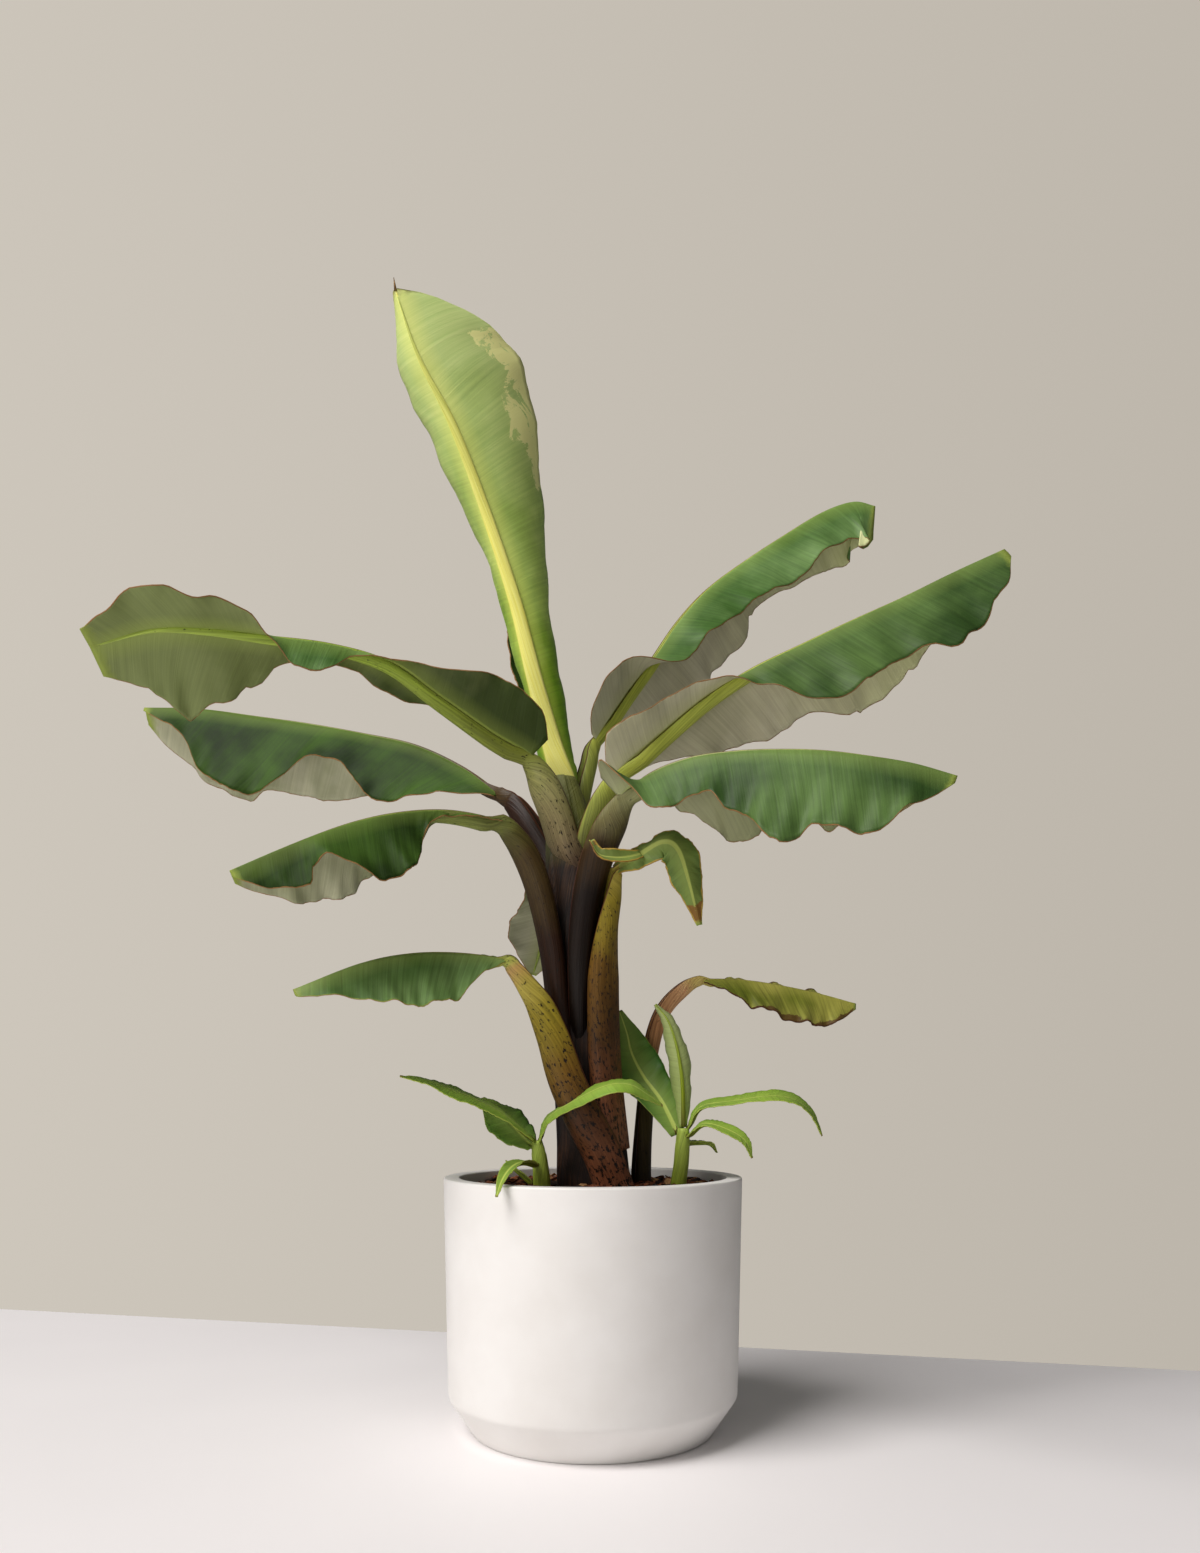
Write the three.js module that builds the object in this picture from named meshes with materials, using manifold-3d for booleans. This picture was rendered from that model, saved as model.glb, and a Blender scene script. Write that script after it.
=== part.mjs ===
// Potted banana plant in a white ceramic pot.
// Millimetres, +Z up, origin at the centre of the pot's underside, +Y is the plant's back.
import * as THREE from "three";
import Module from "manifold-3d";
import { mergeVertices } from "three/addons/utils/BufferGeometryUtils.js";

// Overall sizes.
const POT_DIAMETER = 300;
const POT_HEIGHT = 254;
const PLANT_HEIGHT = 900; // soil to the tip of the newest leaf
const PLANT_SPREAD = 945; // tip of the leftmost leaf to tip of the rightmost

// Pot.
const POT_WALL = 16;
const POT_TAPER = 4.5; // how much smaller the radius is above the chamfer than at the rim
const CHAMFER_HEIGHT = 36;
const CHAMFER_WIDTH = 24;
const RIM_ROUND = 2;
const FOOT_ROUND = 1.5;
const INNER_FOOT_STEP = 4; // the inside slope is this much shorter than the chamfer
const POT_SIDES = 48;

// Potting soil.
const SOIL_BELOW_RIM = 9;
const CLEARANCE = 0.3; // between the plant's pieces
const SOIL_CLEARANCE = 0.36; // soil to pot

// Pseudostem, from the foot in the soil to the crown.
const STEM_WIDTH = 70;
const STEM_DEPTH_IN_SOIL = 65;
const STEM_SIDES = 16;
const SIDE_STEM_SIDES = 10;

// Leaves.
const BLADE_THICKNESS = 1.4;
const STALK_RINGS = 6;
const BLADE_RINGS = 10;
const BLADE_STEPS = 2; // steps from the midrib to the margin
const BLADE_WIDTH = 1; // all blades wider or narrower together
const STALK_WIDTH = 1; // all stalks thicker or thinner together

const UP = new THREE.Vector3(0, 0, 1);
const SOIL_LEVEL = POT_HEIGHT - SOIL_BELOW_RIM;
const DESIGN_HEIGHT = 900;
const DESIGN_SPREAD = 945;
const DESIGN_STEM_WIDTH = 70;
const radians = THREE.MathUtils.degToRad;

const wasm = await Module();
wasm.setup();

const group = new THREE.Group();
group.name = "potted_banana_plant";

const finishes = {
  ceramic: { color: 0xeeece8, roughness: 0.55 },
  soil: { color: 0x3a281d, roughness: 0.95 },
  stem: { color: 0x3a2a1e, roughness: 0.8 },
  stalk: { color: 0x8a9448, roughness: 0.55 },
  blade: { color: 0x3f6d3c, roughness: 0.45 },
  spear: { color: 0x93b25c, roughness: 0.45 },
  yellowing: { color: 0x8f9140, roughness: 0.6 },
  young: { color: 0x557a3a, roughness: 0.5 },
};

// A point of the plant: across, back and above the soil, grown with the overall sizes.
function place([x, y, z]) {
  const wide = PLANT_SPREAD / DESIGN_SPREAD;
  const tall = PLANT_HEIGHT / DESIGN_HEIGHT;
  return new THREE.Vector3(x * wide, y * wide, SOIL_LEVEL + z * tall);
}

// A point of the plant set by the pot's rim: its bearing, how far outside the rim and how far above it.
function overRim(bearing, out, above) {
  const reach = ((POT_DIAMETER / 2 + out) * DESIGN_SPREAD) / PLANT_SPREAD;
  const height = ((SOIL_BELOW_RIM + above) * DESIGN_HEIGHT) / PLANT_HEIGHT;
  return [reach * Math.cos(radians(bearing)), reach * Math.sin(radians(bearing)), height];
}

// Smooth value at fraction s from a few [fraction, value, ...] stations.
function valueAt(stations, s, column = 1) {
  const last = stations.length - 1;
  let i = 0;
  while (i < last - 1 && s > stations[i + 1][0]) i += 1;
  const from = stations[i];
  const to = stations[i + 1];
  const t = THREE.MathUtils.clamp((s - from[0]) / (to[0] - from[0]), 0, 1);
  return THREE.MathUtils.lerp(from[column], to[column], t * t * (3 - 2 * t) * 0.5 + t * 0.5);
}

// Closed solid through rings of points; in every ring point k faces point (last - k).
function solidThrough(rings) {
  const size = rings[0].length;
  const half = size / 2;
  const faces = [];
  const at = (i, k) => i * size + ((k + size) % size);
  for (let i = 0; i < rings.length - 1; i += 1) {
    for (let k = 0; k < size; k += 1) {
      if (k < half) {
        faces.push([at(i, k), at(i + 1, k), at(i + 1, k + 1)]);
        faces.push([at(i, k), at(i + 1, k + 1), at(i, k + 1)]);
      } else {
        faces.push([at(i, k), at(i + 1, k), at(i, k + 1)]);
        faces.push([at(i + 1, k), at(i + 1, k + 1), at(i, k + 1)]);
      }
    }
  }
  const end = rings.length - 1;
  for (let k = 0; k < half - 1; k += 1) {
    const low = size - 1 - k;
    faces.push([at(0, k), at(0, k + 1), at(0, low)]);
    faces.push([at(0, k + 1), at(0, low - 1), at(0, low)]);
    faces.push([at(end, k), at(end, low), at(end, k + 1)]);
    faces.push([at(end, k + 1), at(end, low), at(end, low - 1)]);
  }
  const points = rings.flat();
  let volume = 0;
  for (const [a, b, c] of faces) {
    volume += points[a].dot(points[b].clone().cross(points[c]));
  }
  const triangles = volume > 0 ? faces : faces.map(([a, b, c]) => [a, c, b]);
  const positions = points.flatMap((p) => [p.x, p.y, p.z]);
  return new wasm.Manifold(new wasm.Mesh({
    numProp: 3,
    vertProperties: new Float32Array(positions),
    triVerts: new Uint32Array(triangles.flat()),
  }));
}

// Solid made from a three.js geometry.
function solidFrom(geometry) {
  const bare = geometry.clone();
  bare.deleteAttribute("normal");
  bare.deleteAttribute("uv");
  const merged = mergeVertices(bare, 0.001);
  return new wasm.Manifold(new wasm.Mesh({
    numProp: 3,
    vertProperties: new Float32Array(merged.attributes.position.array),
    triVerts: new Uint32Array(merged.index.array),
  }));
}

// Every solid made so far, with a slightly grown twin that keeps the next ones clear of it.
const built = [];

function boxesMeet(a, b) {
  return [0, 1, 2].every((i) => a.min[i] < b.max[i] && b.min[i] < a.max[i]);
}

// The largest body left of a solid once its grown neighbours are taken away.
function carve(solid, neighbours) {
  let left = solid;
  for (const other of neighbours) {
    if (boxesMeet(left.boundingBox(), other.grown.boundingBox())) {
      left = left.subtract(other.grown).subtract(other.solid);
    }
  }
  const bodies = left.decompose();
  bodies.sort((a, b) => b.volume() - a.volume());
  return bodies[0];
}

function addMesh(name, solid, finish) {
  const mesh = solid.getMesh();
  const geometry = new THREE.BufferGeometry();
  geometry.setAttribute("position", new THREE.BufferAttribute(mesh.vertProperties, 3));
  geometry.setIndex(new THREE.BufferAttribute(mesh.triVerts, 1));
  geometry.computeVertexNormals();
  const { color, roughness } = finishes[finish];
  const material = new THREE.MeshStandardMaterial({ color, roughness, metalness: 0 });
  material.name = finish;
  const piece = new THREE.Mesh(geometry, material);
  piece.name = name;
  group.add(piece);
}

// Adds a living piece: make(grow) gives it at its own size or a little larger all round.
function grow(name, make, finish) {
  const solid = carve(make(0), built);
  built.push({ solid, grown: make(CLEARANCE) });
  addMesh(name, solid, finish);
}

// Direction frames along a leaf: forward, side (level) and up (the leaf's upper face).
function framesAlong(leaf, from, to, count) {
  const curve = new THREE.CatmullRomCurve3(leaf.route.map(place), false, "catmullrom", 0.5);
  const first = curve.getPoint(leaf.bladeFrom / (leaf.route.length - 1));
  const outward = curve.getPoint(1).sub(first).setZ(0).normalize();
  const level = UP.clone().cross(outward);
  const frames = [];
  for (let i = 0; i <= count; i += 1) {
    const s = i / count;
    const u = (from + (to - from) * s) / (leaf.route.length - 1);
    const forward = curve.getTangent(u);
    const side = level.clone().addScaledVector(forward, -level.dot(forward)).normalize();
    const up = forward.clone().cross(side);
    const roll = radians(leaf.roll ?? 0);
    const turned = side.clone().multiplyScalar(Math.cos(roll)).addScaledVector(up, Math.sin(roll));
    frames.push({ s, at: curve.getPoint(u), forward, side: turned, up: forward.clone().cross(turned) });
  }
  return frames;
}

// Grown twins are also a little longer at both ends.
function lengthen(frames, by) {
  frames[0].at.addScaledVector(frames[0].forward, -by);
  frames.at(-1).at.addScaledVector(frames.at(-1).forward, by);
}

// Stalk outline: rounded below, shallow channel above; the grown twin's channel is filled.
const CHANNEL_FLOOR = 0.3;
const CHANNEL_EDGE = 0.72;
const stalkOutline = (floor) => [
  [-1, 0.35], [-0.72, CHANNEL_EDGE], [-0.3, floor], [0.3, floor], [0.72, CHANNEL_EDGE], [1, 0.35],
  [0.94, -0.34], [0.58, -0.82], [0.2, -1], [-0.2, -1], [-0.58, -0.82], [-0.94, -0.34],
];

function stalkSolid(leaf, larger) {
  const frames = framesAlong(leaf, 0, leaf.bladeFrom, leaf.stalkRings ?? STALK_RINGS);
  lengthen(frames, larger);
  const rings = frames.map(({ s, at, side, up }) => {
    const across = valueAt(leaf.stalk, s, 1) * STALK_WIDTH + larger;
    const deep = valueAt(leaf.stalk, s, 2) * STALK_WIDTH + larger;
    return stalkOutline(larger > 0 ? CHANNEL_EDGE : CHANNEL_FLOOR).map(([x, y]) => (
      at.clone().addScaledVector(side, x * across).addScaledVector(up, y * deep)
    ));
  });
  return solidThrough(rings);
}

// One half of a blade's cross-section, from the midrib out to the margin.
function halfSection(frame, half, sign, rib, larger, steps) {
  const { s, at, side, up } = frame;
  const width = valueAt(half.width, s) * BLADE_WIDTH + larger;
  const lean = radians(valueAt(half.lean, s));
  const curl = radians(half.curl ? valueAt(half.curl, s) : 0);
  const ribPart = Math.min(0.5, rib.width / width);
  const stops = [0, ribPart];
  for (let j = 1; j <= steps; j += 1) stops.push(ribPart + ((1 - ribPart) * j) / steps);
  let x = 0;
  let y = 0;
  return stops.map((t, j) => {
    let angle = lean * 0.3;
    if (j > 1) angle = lean + curl * (t + stops[j - 1]) * 0.5;
    if (j > 0) {
      x += Math.cos(angle) * (t - stops[j - 1]) * width;
      y += Math.sin(angle) * (t - stops[j - 1]) * width;
    }
    const normal = up.clone().multiplyScalar(Math.cos(angle)).addScaledVector(side, -sign * Math.sin(angle));
    const point = at.clone().addScaledVector(side, sign * x).addScaledVector(up, y);
    return { point, normal };
  });
}

function bladeSolid(leaf, larger) {
  const frames = framesAlong(leaf, leaf.bladeFrom, leaf.route.length - 1, leaf.bladeRings ?? BLADE_RINGS);
  lengthen(frames, larger);
  const steps = leaf.bladeSteps ?? BLADE_STEPS;
  const thick = BLADE_THICKNESS / 2 + larger;
  const rings = frames.map((frame) => {
    const rib = { width: valueAt(leaf.rib, frame.s, 1), deep: valueAt(leaf.rib, frame.s, 2) };
    const left = halfSection(frame, leaf.left, 1, rib, larger, steps);
    const right = halfSection(frame, leaf.right, -1, rib, larger, steps);
    const across = [...left.slice(1).reverse(), { ...left[0], normal: frame.up }, ...right.slice(1)];
    const middle = left.length - 1;
    const above = across.map(({ point, normal }) => point.clone().addScaledVector(normal, thick));
    const below = across.map(({ point, normal }, k) => {
      const away = Math.abs(k - middle);
      const bulge = away === 0 ? rib.deep : (away === 1 ? rib.deep * 0.5 : 0);
      return point.clone().addScaledVector(normal, -thick).addScaledVector(frame.up, -bulge);
    });
    return [...above, ...below.reverse()];
  });
  return solidThrough(rings);
}

// A side shoot's leaf: narrow at its foot, fullest part way along, pointed.
function sideLeaf({ route, width, fullest, leans, curl, roll }) {
  const half = (lean) => ({
    width: [[0, width * 0.3], [fullest, width], [1, width * 0.12]],
    lean: [[0, lean], [1, lean]],
    curl: [[0, curl ?? 0], [1, curl ?? 0]],
  });
  return {
    route, roll, bladeFrom: 0, bladeRings: 6, bladeSteps: curl ? 2 : 1,
    rib: [[0, 2.4, 2.2], [1, 0.5, 0.5]],
    left: half(leans[0]), right: half(leans[1]),
  };
}

// Pot: turned wall with a chamfered foot and a flat underside.
function potGeometry() {
  const radius = POT_DIAMETER / 2;
  const low = radius - POT_TAPER;
  const foot = low - CHAMFER_WIDTH;
  const innerTop = radius - POT_WALL;
  const innerLow = low - POT_WALL;
  const innerFoot = foot - POT_WALL + INNER_FOOT_STEP;
  const round = RIM_ROUND * 0.3;
  const profile = [
    [0, 0], [foot - FOOT_ROUND, 0], [foot, FOOT_ROUND], [low - FOOT_ROUND, CHAMFER_HEIGHT - FOOT_ROUND],
    [low, CHAMFER_HEIGHT + FOOT_ROUND],
    [radius, POT_HEIGHT - RIM_ROUND], [radius - round, POT_HEIGHT - round], [radius - RIM_ROUND, POT_HEIGHT],
    [innerTop + RIM_ROUND, POT_HEIGHT], [innerTop + round, POT_HEIGHT - round],
    [innerTop, POT_HEIGHT - RIM_ROUND],
    [innerLow, CHAMFER_HEIGHT + POT_WALL / 2], [innerFoot, POT_WALL], [0, POT_WALL],
  ];
  const lathe = new THREE.LatheGeometry(profile.map(([r, z]) => new THREE.Vector2(r, z)), POT_SIDES);
  return lathe.rotateX(Math.PI / 2);
}

// Soil: fills the pot up to a level a little under the rim.
function soilGeometry() {
  const radius = POT_DIAMETER / 2;
  const low = radius - POT_TAPER;
  const gap = SOIL_CLEARANCE;
  const slope = POT_TAPER / (POT_HEIGHT - CHAMFER_HEIGHT);
  const top = radius - POT_WALL - gap - slope * SOIL_BELOW_RIM;
  const innerFoot = low - CHAMFER_WIDTH - POT_WALL + INNER_FOOT_STEP - gap;
  const profile = [
    [0, POT_WALL + gap], [innerFoot, POT_WALL + gap],
    [low - POT_WALL - gap, CHAMFER_HEIGHT + POT_WALL / 2 + gap], [top, SOIL_LEVEL], [0, SOIL_LEVEL],
  ];
  const lathe = new THREE.LatheGeometry(profile.map(([r, z]) => new THREE.Vector2(r, z)), POT_SIDES);
  return lathe.rotateX(Math.PI / 2);
}

// Upright tapering stem through [across, back, height, radius] stations.
function stemSolid(stations, sides, larger) {
  const wide = STEM_WIDTH / DESIGN_STEM_WIDTH;
  const rings = stations.map(([x, y, z, radius], i) => {
    const centre = place([x, y, z]);
    if (i === 0) centre.z -= larger;
    if (i === stations.length - 1) centre.z += larger;
    const ring = [];
    for (let k = 0; k < sides; k += 1) {
      const turn = (2 * Math.PI * (k + 0.5)) / sides;
      const reach = radius * wide + larger;
      ring.push(centre.clone().add(new THREE.Vector3(Math.cos(turn) * reach, Math.sin(turn) * reach, 0)));
    }
    return ring;
  });
  return solidThrough(rings);
}

const PSEUDOSTEM = [
  [2, 0, -STEM_DEPTH_IN_SOIL, 30], [2, 0, -20, 36], [1, 0, 5, 37], [-1, 0, 45, 35], [-4, 0, 90, 34],
  [-9, 0, 150, 33], [-13, 0, 200, 32], [-16, 0, 250, 31], [-19, 0, 300, 29], [-22, 0, 340, 26],
  [-25, 0, 370, 22], [-28, 0, 395, 17], [-31, 0, 412, 13],
];

const SIDE_STEM_LEFT = [[-48, -50, -30, 7], [-49, -50, 0, 8.5], [-51, -50, 25, 7.5], [-54, -50, 47, 5.5]];
const SIDE_STEM_RIGHT = [[84, -22, -35, 6.5], [85, -22, 0, 8], [88, -22, 25, 7.5], [90, -22, 58, 6]];

// Leaves from the crown. route: points from the sheath to the tip; bladeFrom: where the blade starts;
// stalk: [fraction, across, deep]; rib: [fraction, half width, depth]; left and right halves with
// width (half of the blade), lean (above or below level, degrees) and curl (degrees).
const LEAVES = {
  spear: {
    route: [[-30, 0, 402], [-32, 0, 414], [-43, 0, 451], [-60, 4, 515], [-80, 6, 595], [-108, 2, 680],
      [-141, -8, 765], [-175, -14, 831], [-198, -14, 898]],
    bladeFrom: 0, finish: "spear", roll: 90, bladeRings: 13, bladeSteps: 3,
    rib: [[0, 9.5, 9], [0.12, 9.5, 8], [0.4, 6.5, 6], [0.6, 5, 5], [0.8, 3, 3], [1, 0.6, 0.6]],
    left: {
      width: [[0, 11], [0.08, 21], [0.22, 47], [0.4, 62], [0.56, 77], [0.74, 107], [0.84, 116], [0.93, 90], [1, 6]],
      lean: [[0, 5], [0.5, 5], [1, 0]], curl: [[0, 60], [0.2, 120], [0.5, 95], [0.7, 55], [1, 30]],
    },
    right: {
      width: [[0, 11], [0.1, 18], [0.3, 40], [0.6, 50], [0.9, 44], [1, 10]],
      lean: [[0, 40], [0.3, 66], [0.6, 60], [0.8, 42], [1, 50]], curl: [[0, 30], [1, 50]],
    },
  },
  back_upright: {
    route: [[-22, 22, 354], [-24, 34, 398], [-30, 50, 439], [-49, 80, 496], [-68, 120, 570], [-85, 160, 646]],
    bladeFrom: 2, finish: "blade",
    stalk: [[0, 14, 10], [1, 7, 6]],
    rib: [[0, 5, 5], [1, 0.6, 0.6]],
    left: { width: [[0, 8], [0.3, 24], [0.65, 34], [0.85, 24], [1, 2]], lean: [[0, 20], [1, 15]] },
    right: { width: [[0, 8], [0.3, 16], [0.65, 22], [0.85, 18], [1, 2]], lean: [[0, 30], [1, 25]] },
  },
  left_high: {
    route: [[-21, -10, 307], [-31, -14, 348], [-45, -18, 390], [-64, -24, 424], [-102, -40, 445],
      [-148, -60, 473], [-193, -80, 500], [-243, -100, 509], [-298, -120, 509], [-346, -138, 508],
      [-391, -150, 503], [-440, -160, 484]],
    bladeFrom: 3, finish: "blade", bladeRings: 13,
    stalk: [[0, 22, 14], [0.4, 22, 15], [0.7, 19, 15], [1, 9, 9]],
    rib: [[0, 8, 8], [0.5, 5, 5], [1, 0.6, 0.6]],
    left: {
      width: [[0, 12], [0.06, 54], [0.16, 44], [0.28, 22], [0.38, 18], [0.5, 34], [0.66, 34], [0.76, 52],
        [0.9, 42], [1, 26]],
      lean: [[0, 66], [0.25, 55], [0.36, 10], [0.5, -72], [0.6, -20], [0.72, 12], [1, 12]],
    },
    right: {
      width: [[0, 12], [0.15, 16], [0.28, 28], [0.5, 24], [0.62, 46], [0.8, 94], [0.92, 66], [1, 30]],
      lean: [[0, 40], [0.2, -10], [0.35, -50], [0.6, -45], [1, -40]],
    },
  },
  left_middle: {
    route: [[-32, 12, 290], [-42, 20, 327], [-62, 32, 365], [-82, 46, 397], [-96, 52, 408], [-137, 80, 444],
      [-194, 108, 477], [-259, 134, 498], [-326, 156, 516], [-396, 174, 531], [-462, 186, 543], [-530, 194, 547]],
    bladeFrom: 4, finish: "blade", bladeRings: 12,
    stalk: [[0, 20, 13], [0.5, 18, 14], [1, 10, 9]],
    rib: [[0, 8, 8], [0.5, 5, 5], [1, 0.6, 0.6]],
    left: {
      width: [[0, 12], [0.1, 40], [0.22, 76], [0.34, 78], [0.42, 62], [0.6, 84], [0.8, 66], [1, 6]],
      lean: [[0, -45], [0.2, -64], [0.32, -62], [0.42, -44], [0.56, -64], [1, -50]],
    },
    right: {
      width: [[0, 12], [0.15, 30], [0.4, 66], [0.55, 84], [0.7, 86], [0.86, 106], [0.95, 80], [1, 30]],
      lean: [[0, -10], [0.25, -20], [0.45, -50], [0.7, -50], [1, -60]],
    },
  },
  left_low: {
    route: [[-26, -22, 76], [-33, -24, 136], [-36, -26, 185], [-41, -28, 234], [-51, -32, 283], [-63, -40, 319],
      [-77, -50, 342], [-92, -60, 354], [-133, -90, 357], [-175, -118, 349], [-216, -142, 334],
      [-263, -164, 310], [-311, -180, 284]],
    bladeFrom: 7, finish: "blade", stalkRings: 8,
    stalk: [[0, 12, 8], [0.3, 14, 10], [0.7, 15, 12], [1, 9, 9]],
    rib: [[0, 8, 8], [0.5, 5, 5], [1, 0.6, 0.6]],
    left: {
      width: [[0, 12], [0.16, 14], [0.3, 28], [0.42, 52], [0.56, 66], [0.66, 58], [0.78, 56], [0.92, 36], [1, 6]],
      lean: [[0, -10], [0.3, -55], [0.56, -64], [0.68, -44], [0.8, -62], [1, -50]],
    },
    right: {
      width: [[0, 12], [0.15, 20], [0.3, 44], [0.42, 58], [0.58, 66], [0.83, 72], [0.95, 48], [1, 10]],
      lean: [[0, 20], [0.2, -40], [0.5, -50], [1, -55]],
    },
  },
  left_lowest: {
    route: [[23, -34, -3], [9, -44, 36], [-10, -50, 73], [-26, -50, 110], [-38, -49, 148], [-50, -48, 177],
      [-63, -50, 197], [-75, -52, 213], [-85, -54, 222], [-127, -66, 227], [-172, -80, 225], [-217, -94, 214],
      [-275, -110, 188]],
    bladeFrom: 8, finish: "yellowing", stalkRings: 8,
    stalk: [[0, 20, 20], [0.35, 17, 19], [0.6, 13, 15], [0.8, 9, 10], [1, 7, 7]],
    rib: [[0, 6, 6], [0.5, 4, 4], [1, 0.6, 0.6]],
    left: {
      width: [[0, 8], [0.14, 30], [0.3, 60], [0.5, 66], [0.68, 58], [0.85, 34], [1, 10]],
      lean: [[0, -40], [0.3, -55], [1, -50]],
    },
    right: { width: [[0, 8], [0.2, 40], [0.6, 50], [0.85, 30], [1, 10]], lean: [[0, 12], [1, 12]] },
  },
  right_high: {
    route: [[-20, 14, 363], [-13, 22, 400], [-5, 34, 435], [1, 46, 461], [29, 72, 513], [60, 98, 564],
      [93, 122, 616], [127, 142, 661], [169, 160, 704], [216, 174, 743], [266, 184, 775], [318, 190, 788],
      [348, 190, 764]],
    bladeFrom: 3, finish: "blade", bladeRings: 11,
    stalk: [[0, 15, 11], [1, 8, 8]],
    rib: [[0, 7, 7], [0.5, 5, 5], [1, 0.6, 0.6]],
    left: {
      width: [[0, 12], [0.14, 36], [0.3, 84], [0.44, 96], [0.52, 86], [0.6, 62], [0.84, 76], [0.94, 62], [1, 24]],
      lean: [[0, -20], [0.25, -58], [0.86, -58], [1, -50]],
    },
    right: {
      width: [[0, 12], [0.08, 38], [0.19, 34], [0.32, 48], [0.56, 56], [0.8, 62], [0.93, 72], [1, 46]],
      lean: [[0, 65], [0.14, 50], [0.3, -50], [0.6, -55], [0.82, -58], [1, -74]],
    },
  },
  right_upper: {
    route: [[-13, -14, 326], [-3, -20, 360], [10, -26, 387], [25, -32, 406], [68, -36, 445], [112, -38, 481],
      [156, -38, 509], [204, -36, 533], [254, -32, 558], [307, -26, 584], [359, -18, 612], [413, -10, 639]],
    bladeFrom: 3, finish: "blade", bladeRings: 13,
    stalk: [[0, 16, 12], [0.5, 15, 12], [1, 9, 9]],
    rib: [[0, 8, 8], [0.5, 5, 5], [1, 0.6, 0.6]],
    left: {
      width: [[0, 12], [0.13, 38], [0.33, 78], [0.55, 84], [0.7, 90], [0.86, 56], [1, 6]],
      lean: [[0, -10], [0.2, -50], [0.6, -52], [1, -45]],
    },
    right: {
      width: [[0, 22], [0.05, 42], [0.18, 28], [0.3, 26], [0.42, 48], [0.65, 80], [0.8, 82], [0.92, 52], [1, 6]],
      lean: [[0, 75], [0.16, 50], [0.28, 10], [0.4, -60], [0.7, -65], [1, -60]],
    },
  },
  right_middle: {
    route: [[-11, -26, 126], [-11, -30, 185], [-9, -36, 243], [-3, -44, 291], [6, -56, 323], [18, -70, 349],
      [31, -84, 369], [53, -102, 387], [89, -122, 397], [128, -140, 398], [165, -156, 395], [202, -170, 390],
      [238, -182, 382], [273, -192, 373], [308, -200, 360]],
    bladeFrom: 6, finish: "blade", bladeRings: 13, stalkRings: 8,
    stalk: [[0, 18, 10], [0.5, 20, 13], [0.8, 18, 14], [1, 10, 9]],
    rib: [[0, 8, 8], [0.5, 5, 5], [1, 0.6, 0.6]],
    left: {
      width: [[0, 12], [0.1, 44], [0.25, 96], [0.45, 82], [0.65, 72], [0.85, 56], [1, 6]],
      lean: [[0, 0], [0.15, -50], [0.5, -58], [1, -45]],
    },
    right: {
      width: [[0, 34], [0.05, 44], [0.12, 34], [0.2, 58], [0.35, 66], [0.54, 98], [0.7, 80], [0.85, 66], [1, 6]],
      lean: [[0, 85], [0.06, 60], [0.13, -50], [0.2, -62], [0.28, -48], [0.5, -60], [1, -60]],
    },
  },
  withered: {
    route: [[21, -24, 36], [14, -28, 106], [11, -31, 175], [12, -34, 234], [16, -40, 277], [23, -50, 309],
      [43, -70, 319], [66, -82, 330], [80, -90, 321], [90, -92, 291], [100, -92, 250]],
    bladeFrom: 5, finish: "yellowing", stalkRings: 8, roll: 65,
    stalk: [[0, 15, 10], [0.5, 13, 10], [0.8, 10, 9], [1, 7, 7]],
    rib: [[0, 4, 4], [0.5, 2.5, 2.5], [1, 0.6, 0.6]],
    left: { width: [[0, 7], [0.3, 14], [0.7, 18], [1, 3]], lean: [[0, 20], [0.4, -20], [1, -30]] },
    right: { width: [[0, 7], [0.3, 16], [0.7, 20], [1, 3]], lean: [[0, -10], [0.4, -30], [1, -40]] },
  },
  withered_curl: {
    route: [[46, -75, 320], [34, -82, 316], [20, -88, 314], [6, -88, 317], [-2, -86, 330]],
    bladeFrom: 0, finish: "yellowing", bladeRings: 6, bladeSteps: 2, roll: -60,
    rib: [[0, 1.5, 1.5], [1, 0.6, 0.6]],
    left: { width: [[0, 5], [0.5, 9], [1, 4]], lean: [[0, 10], [1, 40]] },
    right: { width: [[0, 5], [0.5, 9], [1, 4]], lean: [[0, 10], [1, 40]] },
  },
  back_low: {
    route: [[-22, 24, 261], [-20, 44, 306], [-24, 74, 331], [-29, 104, 342], [-38, 150, 338], [-50, 190, 312],
      [-62, 214, 275], [-74, 226, 235]],
    bladeFrom: 3, finish: "blade", bladeRings: 8,
    stalk: [[0, 16, 11], [1, 8, 8]],
    rib: [[0, 7, 7], [1, 0.6, 0.6]],
    left: { width: [[0, 10], [0.3, 38], [0.7, 50], [1, 6]], lean: [[0, 10], [0.4, -15], [1, -15]] },
    right: { width: [[0, 10], [0.3, 34], [0.7, 36], [1, 4]], lean: [[0, 10], [0.4, -30], [1, -30]] },
  },
  right_low: {
    route: [[48, 16, -13], [50, 20, 34], [54, 26, 86], [59, 34, 136], [71, 42, 176], [92, 50, 201],
      [115, 56, 213], [158, 66, 214], [201, 76, 209], [244, 84, 201], [286, 90, 190]],
    bladeFrom: 6, finish: "yellowing", stalkRings: 7, bladeRings: 10,
    stalk: [[0, 12, 11], [0.4, 9, 9], [0.8, 8, 9], [1, 6, 6]],
    rib: [[0, 5, 5], [0.5, 3.5, 3.5], [1, 0.6, 0.6]],
    left: { width: [[0, 8], [0.3, 34], [0.7, 40], [0.9, 24], [1, 6]], lean: [[0, 4], [1, 8]] },
    right: { width: [[0, 8], [0.3, 42], [0.6, 50], [0.85, 38], [1, 8]], lean: [[0, -45], [1, -62]] },
  },
};

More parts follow.
